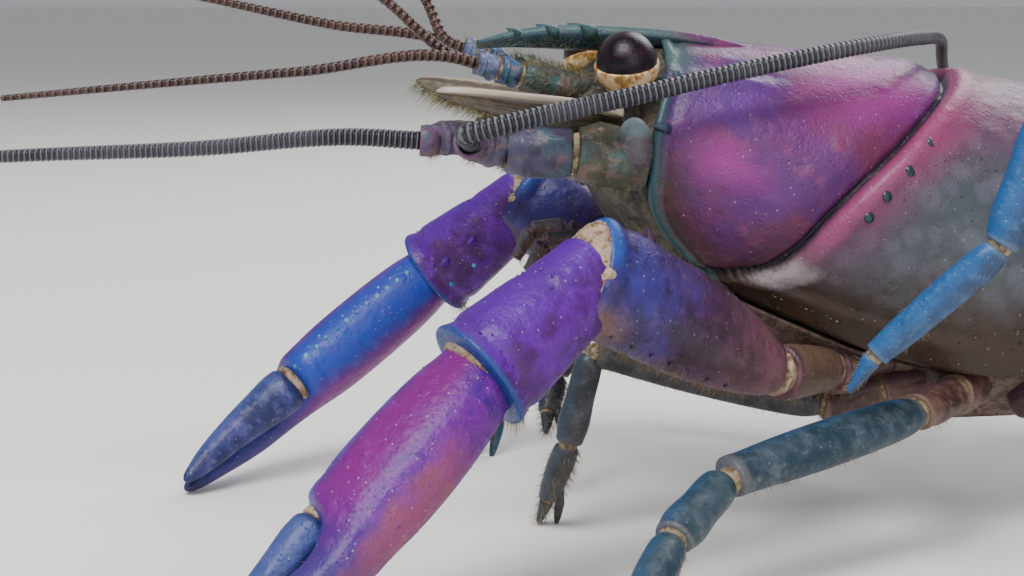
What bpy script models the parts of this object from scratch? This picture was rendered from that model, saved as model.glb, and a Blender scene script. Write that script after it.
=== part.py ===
"""Life-size still model of the freshwater crayfish Cherax boesemani.

All sizes are in millimetres until a mesh is made, which is in metres. The animal faces -Y, its left side is +X,
up is +Z and the floor is z = 0. Body places are given along the pitched body: x to the left, y back from the
rostrum's tip, z up from its line. Joint places of the limbs are given in the room.
"""

import math

import bmesh
import bpy
import numpy as np
from mathutils import Matrix, Vector

MM = 0.001
GAP = 0.3
SLIVER = 0.01
BODY_PITCH = math.radians(8.0)
BODY_HEIGHT = 34.0

# Carapace: back line, half width and lower edge by distance behind the rostrum's tip.
BACK_LINE = ((8.0, 2.3), (11.4, 2.65), (18.0, 2.9), (24.0, 3.1), (29.3, 3.3), (33.6, 3.1), (40.0, 2.9),
             (47.0, 2.8), (53.0, 2.4))
HALF_WIDTH = ((8.0, 8.4), (11.4, 9.3), (15.0, 10.2), (20.0, 11.0), (28.0, 11.7), (36.0, 12.0), (44.0, 11.5),
              (50.0, 10.4), (53.0, 9.9))
LOWER_EDGE = ((10.0, -12.8), (17.6, -13.7), (23.0, -15.2), (28.5, -16.7), (34.7, -17.5), (40.0, -17.3),
              (46.0, -16.2), (53.0, -12.8))
WIDEST = -7.0
EDGE_SHARE = 0.74
SHOULDER = 0.6
FRONT_MARGIN = ((0.0, 12.3), (0.3, 12.1), (0.5, 11.3), (0.6, 11.4), (0.75, 12.0), (0.88, 14.0), (1.0, 17.6))
GROOVE = ((0.0, 33.7), (0.2, 31.8), (0.4, 28.2), (0.6, 24.0), (0.8, 21.2), (1.0, 19.2))
REAR_MARGIN = ((0.0, 51.0), (0.3, 52.0), (0.6, 52.5), (0.8, 51.0), (1.0, 47.5))
GROOVE_DEPTH = 0.5
GROOVE_REACH = 0.6
CARAPACE_FLOOR_LIFT = 0.5

# Rostrum: half width and middle height by distance behind its tip.
ROSTRUM = ((0.2, 0.22, 0.25), (1.6, 0.75, 0.75), (4.0, 1.55, 1.35), (7.0, 2.2, 1.8), (10.0, 2.75, 2.1),
           (12.5, 3.2, 2.25), (14.5, 3.25, 1.85), (17.0, 2.9, 0.9))
ROSTRUM_THICKNESS = 1.5
ROSTRUM_TEETH = (2.6, 4.9, 7.3)
SPOTS = ((0.41, 1.7), (0.49, 2.0), (0.56, 2.1), (0.62, 2.2))

GRANULE_ROW = (22.6, 24.2, 25.8, 27.4, 29.0)
GRANULE_SHARE = 0.8

# Underside of the thorax: the flat flanks that carry the legs.
FLANK_TOP = (7.0, -17.2)
FLANK_FOOT = (3.4, -20.7)
ROOT_HEIGHT = {1: -18.6, 2: -19.0, 3: -19.0, 4: -19.0, 5: -18.8}
ROOT_PLACES = {1: 27.8, 2: 33.0, 3: 37.8, 4: 42.2, 5: 46.2}
STERNUM_FOOT = ((14.0, -16.0), (18.0, -17.4), (22.0, -19.2), (26.0, -20.7), (44.0, -20.7), (49.0, -19.4))

# Eyes
EYE_CENTRE = (6.5, 9.3, 33.1)
EYE_RADIUS = 2.05
EYE_AXIS = (0.72, -0.18, 0.67)
EYE_SEAM = -0.45
STALK_ROOT = (3.1, 11.0, 30.7)

# Joint places of the claw legs, then of the walking legs: ischium's end, knee, wrist, finger joint, tip.
CLAW_POSE = {
    "left": ((11.5, 18.8, 12.7), (19.0, 4.8, 20.7), (22.0, -2.6, 15.3), (27.4, -11.1, 7.4), (32.0, -19.9, 0.22)),
    "right": ((-11.0, 19.5, 12.9), (-16.5, 6.0, 21.4), (-19.0, -1.2, 15.4), (-15.2, -12.9, 6.7),
              (-9.9, -21.4, 0.22)),
}
CLAW_ROLL = {"left": math.radians(8.0), "right": math.radians(35.0)}
CLAW_BREADTH = 7.0
CLAW_THICKNESS = {"left": 5.2, "right": 5.5}
LEG_POSE = {
    (2, "left"): ((5.0, 24.0, 7.6), (5.5, 7.3, 13.4), (5.3, 5.7, 6.8), (2.6, 4.7, 2.2), (1.4, 4.2, 0.0)),
    (2, "right"): ((-5.2, 24.0, 7.8), (-8.0, 8.8, 13.1), (-7.0, 6.8, 9.1), (-5.0, 5.9, 6.6), (-3.4, 5.5, 5.4)),
    (3, "left"): ((13.0, 28.0, 10.1), (20.5, 12.9, 8.1), (25.5, 8.4, 5.9), (33.5, 3.8, 2.7), (36.4, 2.2, 0.0)),
    (3, "right"): ((-12.5, 30.0, 10.0), (-20.0, 15.0, 17.0), (-20.5, 8.5, 12.0), (-20.0, 3.5, 3.2),
                   (-19.0, 2.0, 0.0)),
    (4, "left"): ((14.5, 43.5, 13.5), (19.0, 33.2, 30.3), (19.5, 30.5, 22.0), (17.0, 23.3, 14.7),
                  (16.5, 21.9, 12.3)),
    (4, "right"): ((-12.5, 40.0, 10.0), (-24.0, 42.0, 19.0), (-28.0, 45.0, 13.0), (-30.3, 47.4, 4.0),
                   (-31.0, 48.5, 0.0)),
    (5, "left"): ((11.5, 46.0, 9.0), (19.0, 54.0, 17.0), (22.0, 58.0, 12.0), (24.3, 61.8, 4.0),
                  (25.0, 63.3, 0.0)),
    (5, "right"): ((-11.0, 46.5, 9.0), (-19.5, 52.5, 17.5), (-23.5, 57.0, 12.5), (-26.3, 61.0, 4.0),
                   (-27.0, 62.6, 0.0)),
}
LEG_SIZE = {2: 0.78, 3: 1.0, 4: 0.98, 5: 0.92}
PINCER_LEGS = (2, 3)
FINGER_TURN = 0.9

# Abdomen: slope of each ring, its half width and its height.
RING_LENGTH = 6.0
RING_SLOPES = (12.0, 17.0, 23.0, 30.0, 36.0, 38.0)
RING_HALF_WIDTHS = (9.0, 9.3, 9.2, 8.9, 8.5, 8.0, 7.2)
RING_HEIGHTS = (12.6, 13.2, 13.0, 12.3, 11.4, 10.2, 8.4)
SWIMMERET_RINGS = (1, 2, 3, 4)
SWIMMERET_LENGTH = 3.6

# Distances of the first rings of each whip, which bends sharply where it starts.
WHIP_START = (0.0, 0.4, 0.9, 1.5, 2.3, 3.3)

# Colours: red, green, blue of each finish.
PURPLE = (0.23, 0.06, 0.33)
BLUE = (0.05, 0.10, 0.30)
SLATE = (0.14, 0.20, 0.24)
MAUVE = (0.35, 0.17, 0.30)
CREAM = (0.72, 0.62, 0.45)
DARK = (0.02, 0.015, 0.03)
RUST = (0.22, 0.10, 0.08)


def unit(vector):
    vector = np.asarray(vector, float)
    return vector / np.linalg.norm(vector)


def table(place, rows, column=1):
    """Smooth value at a place between the rows of a table: a cubic with the slopes of its neighbours."""
    rows = np.array(rows, float)
    xs, ys = rows[:, 0], rows[:, column]
    slopes = np.gradient(ys, xs)
    place = np.clip(place, xs[0], xs[-1])
    k = np.clip(np.searchsorted(xs, place, side="right") - 1, 0, len(xs) - 2)
    step = xs[k + 1] - xs[k]
    t = (place - xs[k]) / step
    rise = ys[k + 1] - ys[k]
    return (ys[k] + t * step * slopes[k]
            + t * t * (3 * rise - step * (2 * slopes[k] + slopes[k + 1]))
            + t ** 3 * (step * (slopes[k] + slopes[k + 1]) - 2 * rise))


def body_point(x, y, z):
    """Place in the room of a point given along the body."""
    c, s = math.cos(BODY_PITCH), math.sin(BODY_PITCH)
    return np.stack(np.broadcast_arrays(x, y * c + z * s, BODY_HEIGHT - y * s + z * c), axis=-1).astype(float)


def body_direction(x, y, z):
    return body_point(x, y, z) - body_point(0.0, 0.0, 0.0)


def mirrored(halves):
    """Whole rings from half rings that run from the middle above to the middle below on the left."""
    right = halves[:, -2:0:-1] * np.array((-1.0, 1.0, 1.0))
    return np.concatenate((halves, right), axis=1)


def loft(rings, symmetric=False):
    """Closed surface through rings of equal count, with flat ends; a symmetric one has strips across its ends."""
    rings = np.asarray(rings, float) * MM
    count = rings.shape[1]
    solid = bmesh.new()
    loops = [[solid.verts.new(point) for point in ring] for ring in rings]
    for near, far in zip(loops, loops[1:]):
        for k in range(count):
            following = (k + 1) % count
            solid.faces.new((near[k], near[following], far[following], far[k]))
    for loop in (loops[0], loops[-1]):
        if not symmetric:
            solid.faces.new(loop)
            continue
        half = count // 2
        for k in range(half):
            corners = [loop[k], loop[k + 1], loop[(count - k - 1) % count], loop[(count - k) % count]]
            solid.faces.new(list(dict.fromkeys(corners)))
    bmesh.ops.recalc_face_normals(solid, faces=solid.faces)
    if solid.calc_volume(signed=True) < 0:
        bmesh.ops.reverse_faces(solid, faces=solid.faces)
    return solid


def cut(solid, point, normal):
    """Takes away what lies on the normal's side of a plane and closes the cut."""
    everything = solid.verts[:] + solid.edges[:] + solid.faces[:]
    bmesh.ops.bisect_plane(solid, geom=everything, dist=1e-7, plane_co=Vector(np.asarray(point) * MM),
                           plane_no=Vector(normal), clear_outer=True)
    open_edges = [edge for edge in solid.edges if edge.is_boundary]
    bmesh.ops.holes_fill(solid, edges=open_edges, sides=0)
    bmesh.ops.recalc_face_normals(solid, faces=solid.faces)
    return solid


def cut_floor(solid):
    return cut(solid, (0.0, 0.0, 0.0), (0.0, 0.0, -1.0))


def spine(base, direction, height, radius, sides=5, blunt=0.0, sunk=0.5):
    """A cone rooted below its base by a share of its height; blunt is its top radius as a share of its root's."""
    direction = unit(direction)
    solid = bmesh.new()
    length = height * (1 + sunk)
    middle = np.asarray(base, float) + direction * (height - length / 2)
    turn = Vector((0, 0, 1)).rotation_difference(Vector(direction)).to_matrix().to_4x4()
    bmesh.ops.create_cone(solid, cap_ends=True, segments=sides, radius1=radius * (1 + sunk) * MM,
                          radius2=radius * blunt * MM, depth=length * MM,
                          matrix=Matrix.Translation(Vector(middle * MM)) @ turn)
    return solid


def limb(joints, across, stations, sides=8, power=2.0, crest=0.0, upward=(0.0, 0.0, 1.0)):
    """Closed tube along a chain of joints.

    A station is (place, half width, half depth), and place 1.3 lies 0.3 along the second length. A ring on a
    joint lies in the plane that halves the bend. The width runs along across, and crest narrows the upper side.
    """
    joints = np.asarray(joints, float)
    steps = np.diff(joints, axis=0)
    rings = []
    for place, half_width, half_depth in stations:
        k = int(np.clip(math.floor(place), 0, len(steps) - 1))
        tangent = unit(steps[k])
        if k > 0 and abs(place - k) < 1e-6:
            tangent = unit(unit(steps[k - 1]) + tangent)
        wide = np.asarray(across, float) - np.dot(across, tangent) * tangent
        wide = unit(wide)
        deep = np.cross(wide, tangent)
        deep = deep if np.dot(deep, upward) >= 0 else -deep
        turn = 2 * np.pi * (np.arange(sides) + 0.5) / sides
        x = np.sign(np.cos(turn)) * np.abs(np.cos(turn)) ** (2 / power)
        y = np.sign(np.sin(turn)) * np.abs(np.sin(turn)) ** (2 / power)
        x = x * (1 - crest * y)
        centre = joints[k] + steps[k] * (place - k)
        rings.append(centre + np.outer(x * half_width, wide) + np.outer(y * half_depth, deep))
    return loft(rings)


def limb_spot(joints, across, stations, place, angle, upward=(0.0, 0.0, 1.0)):
    """Point on a limb's surface at a place and an angle from its width, with the directions outwards and along."""
    joints = np.asarray(joints, float)
    k = int(np.clip(math.floor(place), 0, len(joints) - 2))
    step = joints[k + 1] - joints[k]
    tangent = unit(step)
    wide = unit(np.asarray(across, float) - np.dot(across, tangent) * tangent)
    deep = np.cross(wide, tangent)
    deep = deep if np.dot(deep, upward) >= 0 else -deep
    places, half_widths, half_depths = np.array(stations, float).T
    x = math.cos(angle) * np.interp(place, places, half_widths)
    y = math.sin(angle) * np.interp(place, places, half_depths)
    outward = unit(math.cos(angle) * wide + math.sin(angle) * deep)
    return joints[k] + step * (place - k) + x * wide + y * deep, outward, tangent


def spine_row(joints, across, stations, places, angle, height, radius, lean=0.6, blunt=0.0,
              upward=(0.0, 0.0, 1.0)):
    """Spines or knobs along one line of a limb, rooted below its facets and leaning forwards."""
    solids = []
    for place in places:
        base, outward, tangent = limb_spot(joints, across, stations, place, angle, upward)
        solids.append(spine(base - outward * 0.3, outward + tangent * lean, height + 0.3, radius, blunt=blunt))
    return solids


def mitre(before, joint, after):
    """Normal of the plane that halves the bend at a joint, along the limb."""
    joint = np.asarray(joint, float)
    return unit(unit(joint - before) + unit(after - joint))


def cut_end(solid, before, joint, after):
    normal = mitre(before, joint, after)
    return cut(solid, joint - normal * GAP / 2, normal)


def cut_start(solid, before, joint, after):
    normal = mitre(before, joint, after)
    return cut(solid, joint + normal * GAP / 2, -normal)


def finish_for(name, colour, roughness=0.35, metallic=0.0):
    material = bpy.data.materials.get(name) or bpy.data.materials.new(name)
    material.use_nodes = True
    shader = material.node_tree.nodes["Principled BSDF"]
    shader.inputs["Base Color"].default_value = (*colour, 1.0)
    shader.inputs["Roughness"].default_value = roughness
    shader.inputs["Metallic"].default_value = metallic
    material.diffuse_color = (*colour, 1.0)
    return material


def object_of(name, solid, collection):
    mesh = bpy.data.meshes.new(name)
    solid.to_mesh(mesh)
    solid.free()
    made = bpy.data.objects.new(name, mesh)
    collection.objects.link(made)
    return made


def bake(made):
    """Applies an object's modifiers to its mesh."""
    graph = bpy.context.evaluated_depsgraph_get()
    mesh = bpy.data.meshes.new_from_object(made.evaluated_get(graph))
    made.modifiers.clear()
    old = made.data
    made.data = mesh
    bpy.data.meshes.remove(old)


def keep_largest(made):
    """Leaves an object's largest closed surface, drops loose scraps and merges the slivers that joining leaves."""
    solid = bmesh.new()
    solid.from_mesh(made.data)
    left = set(solid.verts)
    best, best_volume = [], -1.0
    while left:
        queue = [left.pop()]
        island = set(queue)
        while queue:
            for edge in queue.pop().link_edges:
                for vertex in edge.verts:
                    if vertex in left:
                        left.discard(vertex)
                        island.add(vertex)
                        queue.append(vertex)
        faces = {face for vertex in island for face in vertex.link_faces}
        volume = 0.0
        for face in faces:
            first, *rest = [vertex.co for vertex in face.verts]
            volume += sum(first.dot(a.cross(b)) for a, b in zip(rest, rest[1:]))
        if abs(volume) > best_volume:
            best, best_volume = island, abs(volume)
    extra = [vertex for vertex in solid.verts if vertex not in best]
    if extra:
        bmesh.ops.delete(solid, geom=extra, context="VERTS")
    bmesh.ops.dissolve_degenerate(solid, dist=SLIVER * MM, edges=solid.edges)
    bmesh.ops.triangulate(solid, faces=solid.faces)
    bmesh.ops.dissolve_degenerate(solid, dist=SLIVER * MM, edges=solid.edges)
    solid.to_mesh(made.data)
    solid.free()


def node(name, solids, finish, clear_of=()):
    """One named sub-part: its overlapping closed pieces joined by one union, then trimmed clear of neighbours."""
    parts = bpy.data.collections["cherax_boesemani"]
    helpers = bpy.data.collections["joining_and_cutting"]
    made = object_of(name, solids[0], parts)
    if len(solids) > 1:
        group = bpy.data.collections.new(name + "_pieces")
        helpers.children.link(group)
        for number, solid in enumerate(solids[1:]):
            object_of(f"{name}_piece_{number}", solid, group)
        join = made.modifiers.new("join", "BOOLEAN")
        join.operation = "UNION"
        join.operand_type = "COLLECTION"
        join.collection = group
        join.solver = "MANIFOLD"
        bake(made)
        for piece in list(group.objects):
            bpy.data.objects.remove(piece)
        bpy.data.collections.remove(group)
    for neighbour in clear_of:
        trim = made.modifiers.new("trim", "BOOLEAN")
        trim.operation = "DIFFERENCE"
        trim.solver = "MANIFOLD"
        trim.object = swollen(neighbour, helpers)
        bake(made)
        bpy.data.objects.remove(bpy.data.objects["swollen"])
    keep_largest(made)
    made.data.materials.clear()
    made.data.materials.append(finish)
    made.data.shade_smooth()
    made.data.set_sharp_from_angle(angle=math.radians(38))
    return made


def swollen(neighbour, helpers):
    """Copy of a sub-part grown outwards by the gap, which trims what touches it."""
    solid = bmesh.new()
    solid.from_mesh(bpy.data.objects[neighbour].data)
    solid.normal_update()
    moves = [(vertex, vertex.normal * vertex.calc_shell_factor() * GAP * MM) for vertex in solid.verts]
    for vertex, move in moves:
        limit = 2 * GAP * MM
        vertex.co += move if move.length < limit else move.normalized() * limit
    return object_of("swollen", solid, helpers)


def carapace_section(y, t):
    """Left side of the carapace at a place y and a share t of the way from its back line to its lower edge."""
    back, half, edge = table(y, BACK_LINE), table(y, HALF_WIDTH), table(y, LOWER_EDGE)
    turn = np.clip(t / SHOULDER, 0, 1) * np.pi / 2
    fall = np.clip((t - SHOULDER) / (1 - SHOULDER), 0, 1)
    x = half * np.where(t < SHOULDER, np.sin(turn), 1 - (1 - EDGE_SHARE) * fall ** 2)
    z = np.where(t < SHOULDER, WIDEST + (back - WIDEST) * np.cos(turn), WIDEST + (edge - WIDEST) * fall)
    return x, z


def carapace_normal(y, t):
    """Outward direction of the carapace's surface, from small steps along it."""
    step = 0.02
    here, along = carapace_place(y, t), carapace_place(y + step, t)
    down = carapace_place(y, t + step)
    return unit(np.cross(along - here, down - here))


def carapace_place(y, t):
    x, z = carapace_section(y, t)
    return body_point(x, y, z)


def carapace():
    shares = np.array((0.0, 0.1, 0.2, 0.3, 0.4, 0.5, 0.6, 0.73, 0.87, 1.0))
    front, groove, rear = (table(shares, rows) for rows in (FRONT_MARGIN, GROOVE, REAR_MARGIN))
    lines = [front + (groove - GROOVE_REACH - front) * share for share in (0.0, 0.12, 0.4, 0.7, 1.0)]
    lines.append(groove)
    lines += [groove + GROOVE_REACH + (rear - groove - GROOVE_REACH) * share
              for share in (0.0, 0.25, 0.5, 0.75, 0.93, 1.0)]
    halves = []
    for number, y in enumerate(lines):
        x, z = carapace_section(y, shares)
        if number == 5:
            inward = GROOVE_DEPTH * np.array([1.0] * 8 + [0.6, 0.0])
            x = x - inward * np.sin(np.clip(shares / SHOULDER, 0, 1) * np.pi / 2)
            z = z - inward * np.cos(np.clip(shares / SHOULDER, 0, 1) * np.pi / 2)
        inner = (x[-1] * 0.6, y[-1], z[-1] + CARAPACE_FLOOR_LIFT)
        middle = (0.0, y[-1], z[-1] + CARAPACE_FLOOR_LIFT)
        half = np.vstack((np.column_stack((x, y, z)), inner, middle))
        halves.append(body_point(*half.T))
    solids = [loft(mirrored(np.array(halves)), symmetric=True), rostrum()]
    for side in (1, -1):
        flip = np.array((side, 1.0, 1.0))
        for y in ROSTRUM_TEETH:
            half, height = table(y, ROSTRUM), table(y, ROSTRUM, 2)
            base = body_point(side * (half - 0.15), y, height + 0.25)
            ahead = body_direction(0.55 * side, -0.8, 0.35)
            solids.append(spine(base, ahead, 0.3 + 0.25 * half, 0.14 * half, sunk=0.5))
        for y, height in ((12.4, 1.1), (15.6, 0.5)):
            base = carapace_place(y, 0.3) * flip
            normal = carapace_normal(y, 0.3) * flip
            solids.append(spine(base, normal * 0.45 + body_direction(0, -0.9, 0), height, 0.5, sunk=0.8))
        base = carapace_place(11.8, 0.46) * flip
        solids.append(spine(base, body_direction(0.3 * side, -1, 0.1), 1.0, 0.45, sunk=0.8))
        for share, behind in SPOTS:
            y = table(share, GROOVE) + behind
            normal = carapace_normal(y, share) * flip
            base = carapace_place(y, share) * flip - normal * 0.4
            solids.append(spine(base, normal, 0.75, 0.4, blunt=0.6, sunk=0.4))
        for y in GRANULE_ROW:
            normal = carapace_normal(y, GRANULE_SHARE) * flip
            base = carapace_place(y, GRANULE_SHARE) * flip - normal * 0.4
            solids.append(spine(base, normal, 0.65, 0.3, blunt=0.6, sunk=0.4))
    return node("carapace", solids, finish_for("shell_purple", PURPLE))


def rostrum():
    """Flat lance with raised margins over a hollowed top, sunk into the front of the carapace."""
    halves = []
    for y, half, height in ROSTRUM:
        thick = ROSTRUM_THICKNESS * min(1.0, 0.35 + half / 3)
        shape = ((0.0, 0.22), (0.55, 0.2), (0.85, 0.42), (1.0, 0.15), (0.7, -0.35), (0.0, -0.5))
        halves.append([body_point(half * x, y, height + thick * z) for x, z in shape])
    return loft(mirrored(np.array(halves)), symmetric=True)


def thorax_underside():
    """Keel under the carapace with flat flanks, which the legs grow from."""
    halves = []
    for y in (18.2, 21.0, 25.0, 29.0, 34.0, 39.0, 44.0, 47.0):
        top = table(y, LOWER_EDGE) - GAP - 0.15
        foot = table(y, STERNUM_FOOT)
        lean = (FLANK_TOP[0] - FLANK_FOOT[0]) / (FLANK_TOP[1] - FLANK_FOOT[1])
        wide = [FLANK_FOOT[0] + (z - FLANK_FOOT[1]) * lean for z in (top, foot)]
        shape = ((0.0, top), (wide[0], top), (wide[1], foot), (0.0, foot - 0.3))
        halves.append([body_point(x, y, z) for x, z in shape])
    keel = loft(mirrored(np.array(halves)), symmetric=True)
    return node("thorax_underside", [keel], finish_for("shell_slate", SLATE))


def head_front():
    """Face between the front margins of the carapace: the base of eyes, feelers and mouthparts."""
    shares = np.linspace(0.16, 1.0, 8)
    halves = []
    for forward, scale, lift in ((0.35, 0.9, 0.0), (1.9, 0.84, 0.0), (3.7, 0.68, 0.4), (5.3, 0.44, 0.6)):
        y = table(shares, FRONT_MARGIN)
        x, z = carapace_section(y, shares)
        y = np.minimum(y, 14.5) - forward
        z = WIDEST + 1.5 + (z - WIDEST - 1.5) * scale + lift
        top = (0.0, y[0], z[0] + 0.15)
        bottom = (0.0, y[-1], z[-1])
        half = np.vstack((top, np.column_stack((x * scale, y, z)), bottom))
        halves.append(body_point(*half.T))
    return node("head_front", [loft(mirrored(np.array(halves)), symmetric=True)], finish_for("shell_cream", CREAM),
         clear_of=("carapace", "thorax_underside"))


def eye(side, flip):
    centre = np.array(EYE_CENTRE) * flip
    axis = unit(np.array(EYE_AXIS) * flip)
    ball = bmesh.new()
    turn = Vector((0, 0, 1)).rotation_difference(Vector(axis)).to_matrix().to_4x4()
    bmesh.ops.create_uvsphere(ball, u_segments=14, v_segments=10, radius=EYE_RADIUS * MM,
                              matrix=Matrix.Translation(Vector(centre * MM)) @ turn)
    seam = centre + axis * (EYE_SEAM * EYE_RADIUS)
    node(f"cornea_{side}", [cut(ball, seam + axis * GAP / 2, -axis)], finish_for("cornea_dark", DARK, 0.05))
    root = np.array(STALK_ROOT) * flip
    across = np.cross(axis, (0.0, 1.0, 0.0))
    end = seam - axis * GAP / 2
    stalk = limb((root, end - axis * 1.3, end), across,
                 ((0.0, 1.5, 1.5), (0.7, 1.55, 1.55), (1.0, 1.75, 1.75), (1.6, 1.85, 1.85), (2.0, 1.8, 1.8)),
                  sides=10)
    node(f"eyestalk_{side}", [stalk], finish_for("stalk_cream", CREAM), clear_of=("head_front", "carapace"))


def claw_leg(side, flip):
    root = leg_root(1, flip)
    ischium_end, knee, wrist, finger_joint, tip = (np.array(place) for place in CLAW_POSE[side])
    level = lambda a, b: unit(np.cross(b - a, (0.0, 0.0, 1.0)))
    ischium = limb((root - unit(ischium_end - root) * 1.5, ischium_end), level(root, ischium_end),
                   ((0.0, 1.9, 1.8), (0.2, 2.0, 1.9), (0.36, 1.6, 1.65), (0.7, 1.7, 1.8), (0.96, 1.6, 1.8),
                    (1.08, 1.1, 1.3)), sides=10)
    ischium = cut_end(ischium, root, ischium_end, knee)
    node(f"cheliped_{side}_ischium", [ischium], finish_for("shell_mauve", MAUVE),
         clear_of=("thorax_underside", "carapace"))

    joints, across = (ischium_end, knee), level(ischium_end, knee)
    stations = ((-0.06, 1.1, 1.3), (0.03, 1.6, 1.85), (0.2, 1.9, 2.6), (0.45, 2.3, 3.3), (0.7, 2.65, 3.5),
                (0.92, 2.75, 3.6), (1.05, 2.4, 3.3), (1.13, 1.6, 2.3))
    merus = limb(joints, across, stations, sides=12, crest=0.25)
    merus = cut_start(cut_end(merus, ischium_end, knee, wrist), root, ischium_end, knee)
    knobs = spine_row(joints, across, stations, np.linspace(0.3, 0.72, 6), math.radians(90), 0.3, 0.34, blunt=0.4)
    knobs += spine_row(joints, across, stations, (0.82,), math.radians(90), 1.0, 0.42)
    for angle in (240.0, 300.0):
        knobs += spine_row(joints, across, stations, np.linspace(0.35, 0.8, 4), math.radians(angle), 0.6, 0.34)
    node(f"cheliped_{side}_merus", [merus, *knobs], finish_for("shell_mauve", MAUVE))

    joints, across = (knee, wrist), level(knee, wrist)
    stations = ((-0.16, 1.6, 1.7), (0.02, 2.2, 2.3), (0.2, 2.4, 2.5), (0.34, 2.8, 2.9), (0.65, 3.1, 3.2),
                (0.9, 3.15, 3.25), (1.02, 2.7, 2.8), (1.1, 2.0, 2.0))
    carpus = limb(joints, across, stations, sides=12, power=2.2)
    carpus = cut_start(cut_end(carpus, knee, wrist, finger_joint), ischium_end, knee, wrist)
    inner = 0.0 if np.dot(limb_spot(joints, across, stations, 0.5, 0.0)[1], flip * (1, 0, 0)) < 0 else 180.0
    knobs = spine_row(joints, across, stations, (0.5, 0.78), math.radians(inner), 0.75, 0.42)
    knobs += spine_row(joints, across, stations, (0.35, 0.6), math.radians(90), 0.3, 0.34, blunt=0.4)
    node(f"cheliped_{side}_carpus", [carpus, *knobs], finish_for("shell_purple", PURPLE))
    claw(side, flip, knee, wrist, finger_joint, tip)


def claw_frame(side, wrist, finger_joint):
    """Length, breadth (towards the midline) and thickness directions of a claw."""
    along = unit(finger_joint - wrist)
    inward = np.cross(along, (0.0, 0.0, 1.0)) * (1 if side == "left" else -1)
    inward = unit(inward)
    up = unit(np.array((0.0, 0.0, 1.0)) - along[2] * along)
    roll = CLAW_ROLL[side]
    breadth = inward * math.cos(roll) + up * math.sin(roll)
    thick = up * math.cos(roll) - inward * math.sin(roll)
    return along, breadth, thick


def claw(side, flip, knee, wrist, finger_joint, tip):
    along, breadth, thick = claw_frame(side, wrist, finger_joint)
    half, deep = CLAW_BREADTH / 2, CLAW_THICKNESS[side] / 2
    stations = ((-0.1, 0.45 * half, 0.5 * deep), (0.0, 0.68 * half, 0.75 * deep), (0.18, 0.88 * half, 0.94 * deep),
                (0.5, half, deep), (0.8, 0.99 * half, 0.95 * deep), (0.97, 0.9 * half, 0.8 * deep),
                (1.04, 0.7 * half, 0.6 * deep))
    palm = limb((wrist, finger_joint), breadth, stations, sides=12, power=2.3, upward=thick)
    knobs = spine_row((wrist, finger_joint), breadth, stations, np.linspace(0.3, 0.88, 7), math.radians(12),
                      0.26, 0.36, blunt=0.5, upward=thick)
    palm = cut_start(palm, knee, wrist, finger_joint)
    seam = finger_joint + along * 0.2
    palm = cut(palm, seam, along)
    outer = -breadth * half
    finger_root = finger_joint - along * 5.0 + outer * 0.42
    finger_mid = finger_joint + along * 5.5 + outer * 0.60
    finger = limb((finger_root, finger_joint + along * 0.2 + outer * 0.53, finger_mid, tip), breadth,
                  ((0.0, 0.30 * half, 0.5 * deep), (1.0, 0.44 * half, 0.66 * deep),
                   (1.55, 0.38 * half, 0.6 * deep), (2.0, 0.32 * half, 0.5 * deep),
                   (2.6, 0.22 * half, 0.34 * deep), (2.97, 0.1 * half, 0.16 * deep)),
                  sides=8, upward=thick)
    teeth = []
    for share, height in ((0.25, 0.45), (0.42, 0.35), (0.6, 0.3)):
        base = finger_mid + (tip - finger_mid) * share + breadth * half * (0.26 - 0.14 * share)
        teeth.append(spine(base - breadth * 0.25, breadth, height + 0.1, 0.34, blunt=0.45))
    node(f"cheliped_{side}_palm", [palm, cut_floor(finger), *knobs, *teeth], finish_for("shell_purple", PURPLE))

    hinge = seam + breadth * half * 0.5
    bend = tip + breadth * 1.1 - along * 0.1 + np.array((0.0, 0.0, 0.35))
    mid = finger_joint + along * 5.8 + breadth * half * 0.5
    dactyl = limb((hinge - along, mid, bend), breadth,
                  ((0.0, 0.38 * half, 0.62 * deep), (0.25, 0.42 * half, 0.66 * deep),
                   (0.6, 0.38 * half, 0.58 * deep), (1.0, 0.32 * half, 0.48 * deep),
                   (1.6, 0.2 * half, 0.32 * deep), (2.0, 0.08 * half, 0.14 * deep)),
                  sides=8, upward=thick)
    dactyl = cut_floor(cut(dactyl, seam + along * GAP, -along))
    node(f"cheliped_{side}_dactyl", [dactyl], finish_for("shell_blue", BLUE), clear_of=(f"cheliped_{side}_palm",))


def leg_root(number, flip):
    """Where a leg's axis meets the thorax's flank."""
    height = ROOT_HEIGHT[number]
    lean = (FLANK_TOP[0] - FLANK_FOOT[0]) / (FLANK_TOP[1] - FLANK_FOOT[1])
    return body_point(FLANK_FOOT[0] + (height - FLANK_FOOT[1]) * lean, ROOT_PLACES[number], height) * flip


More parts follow.
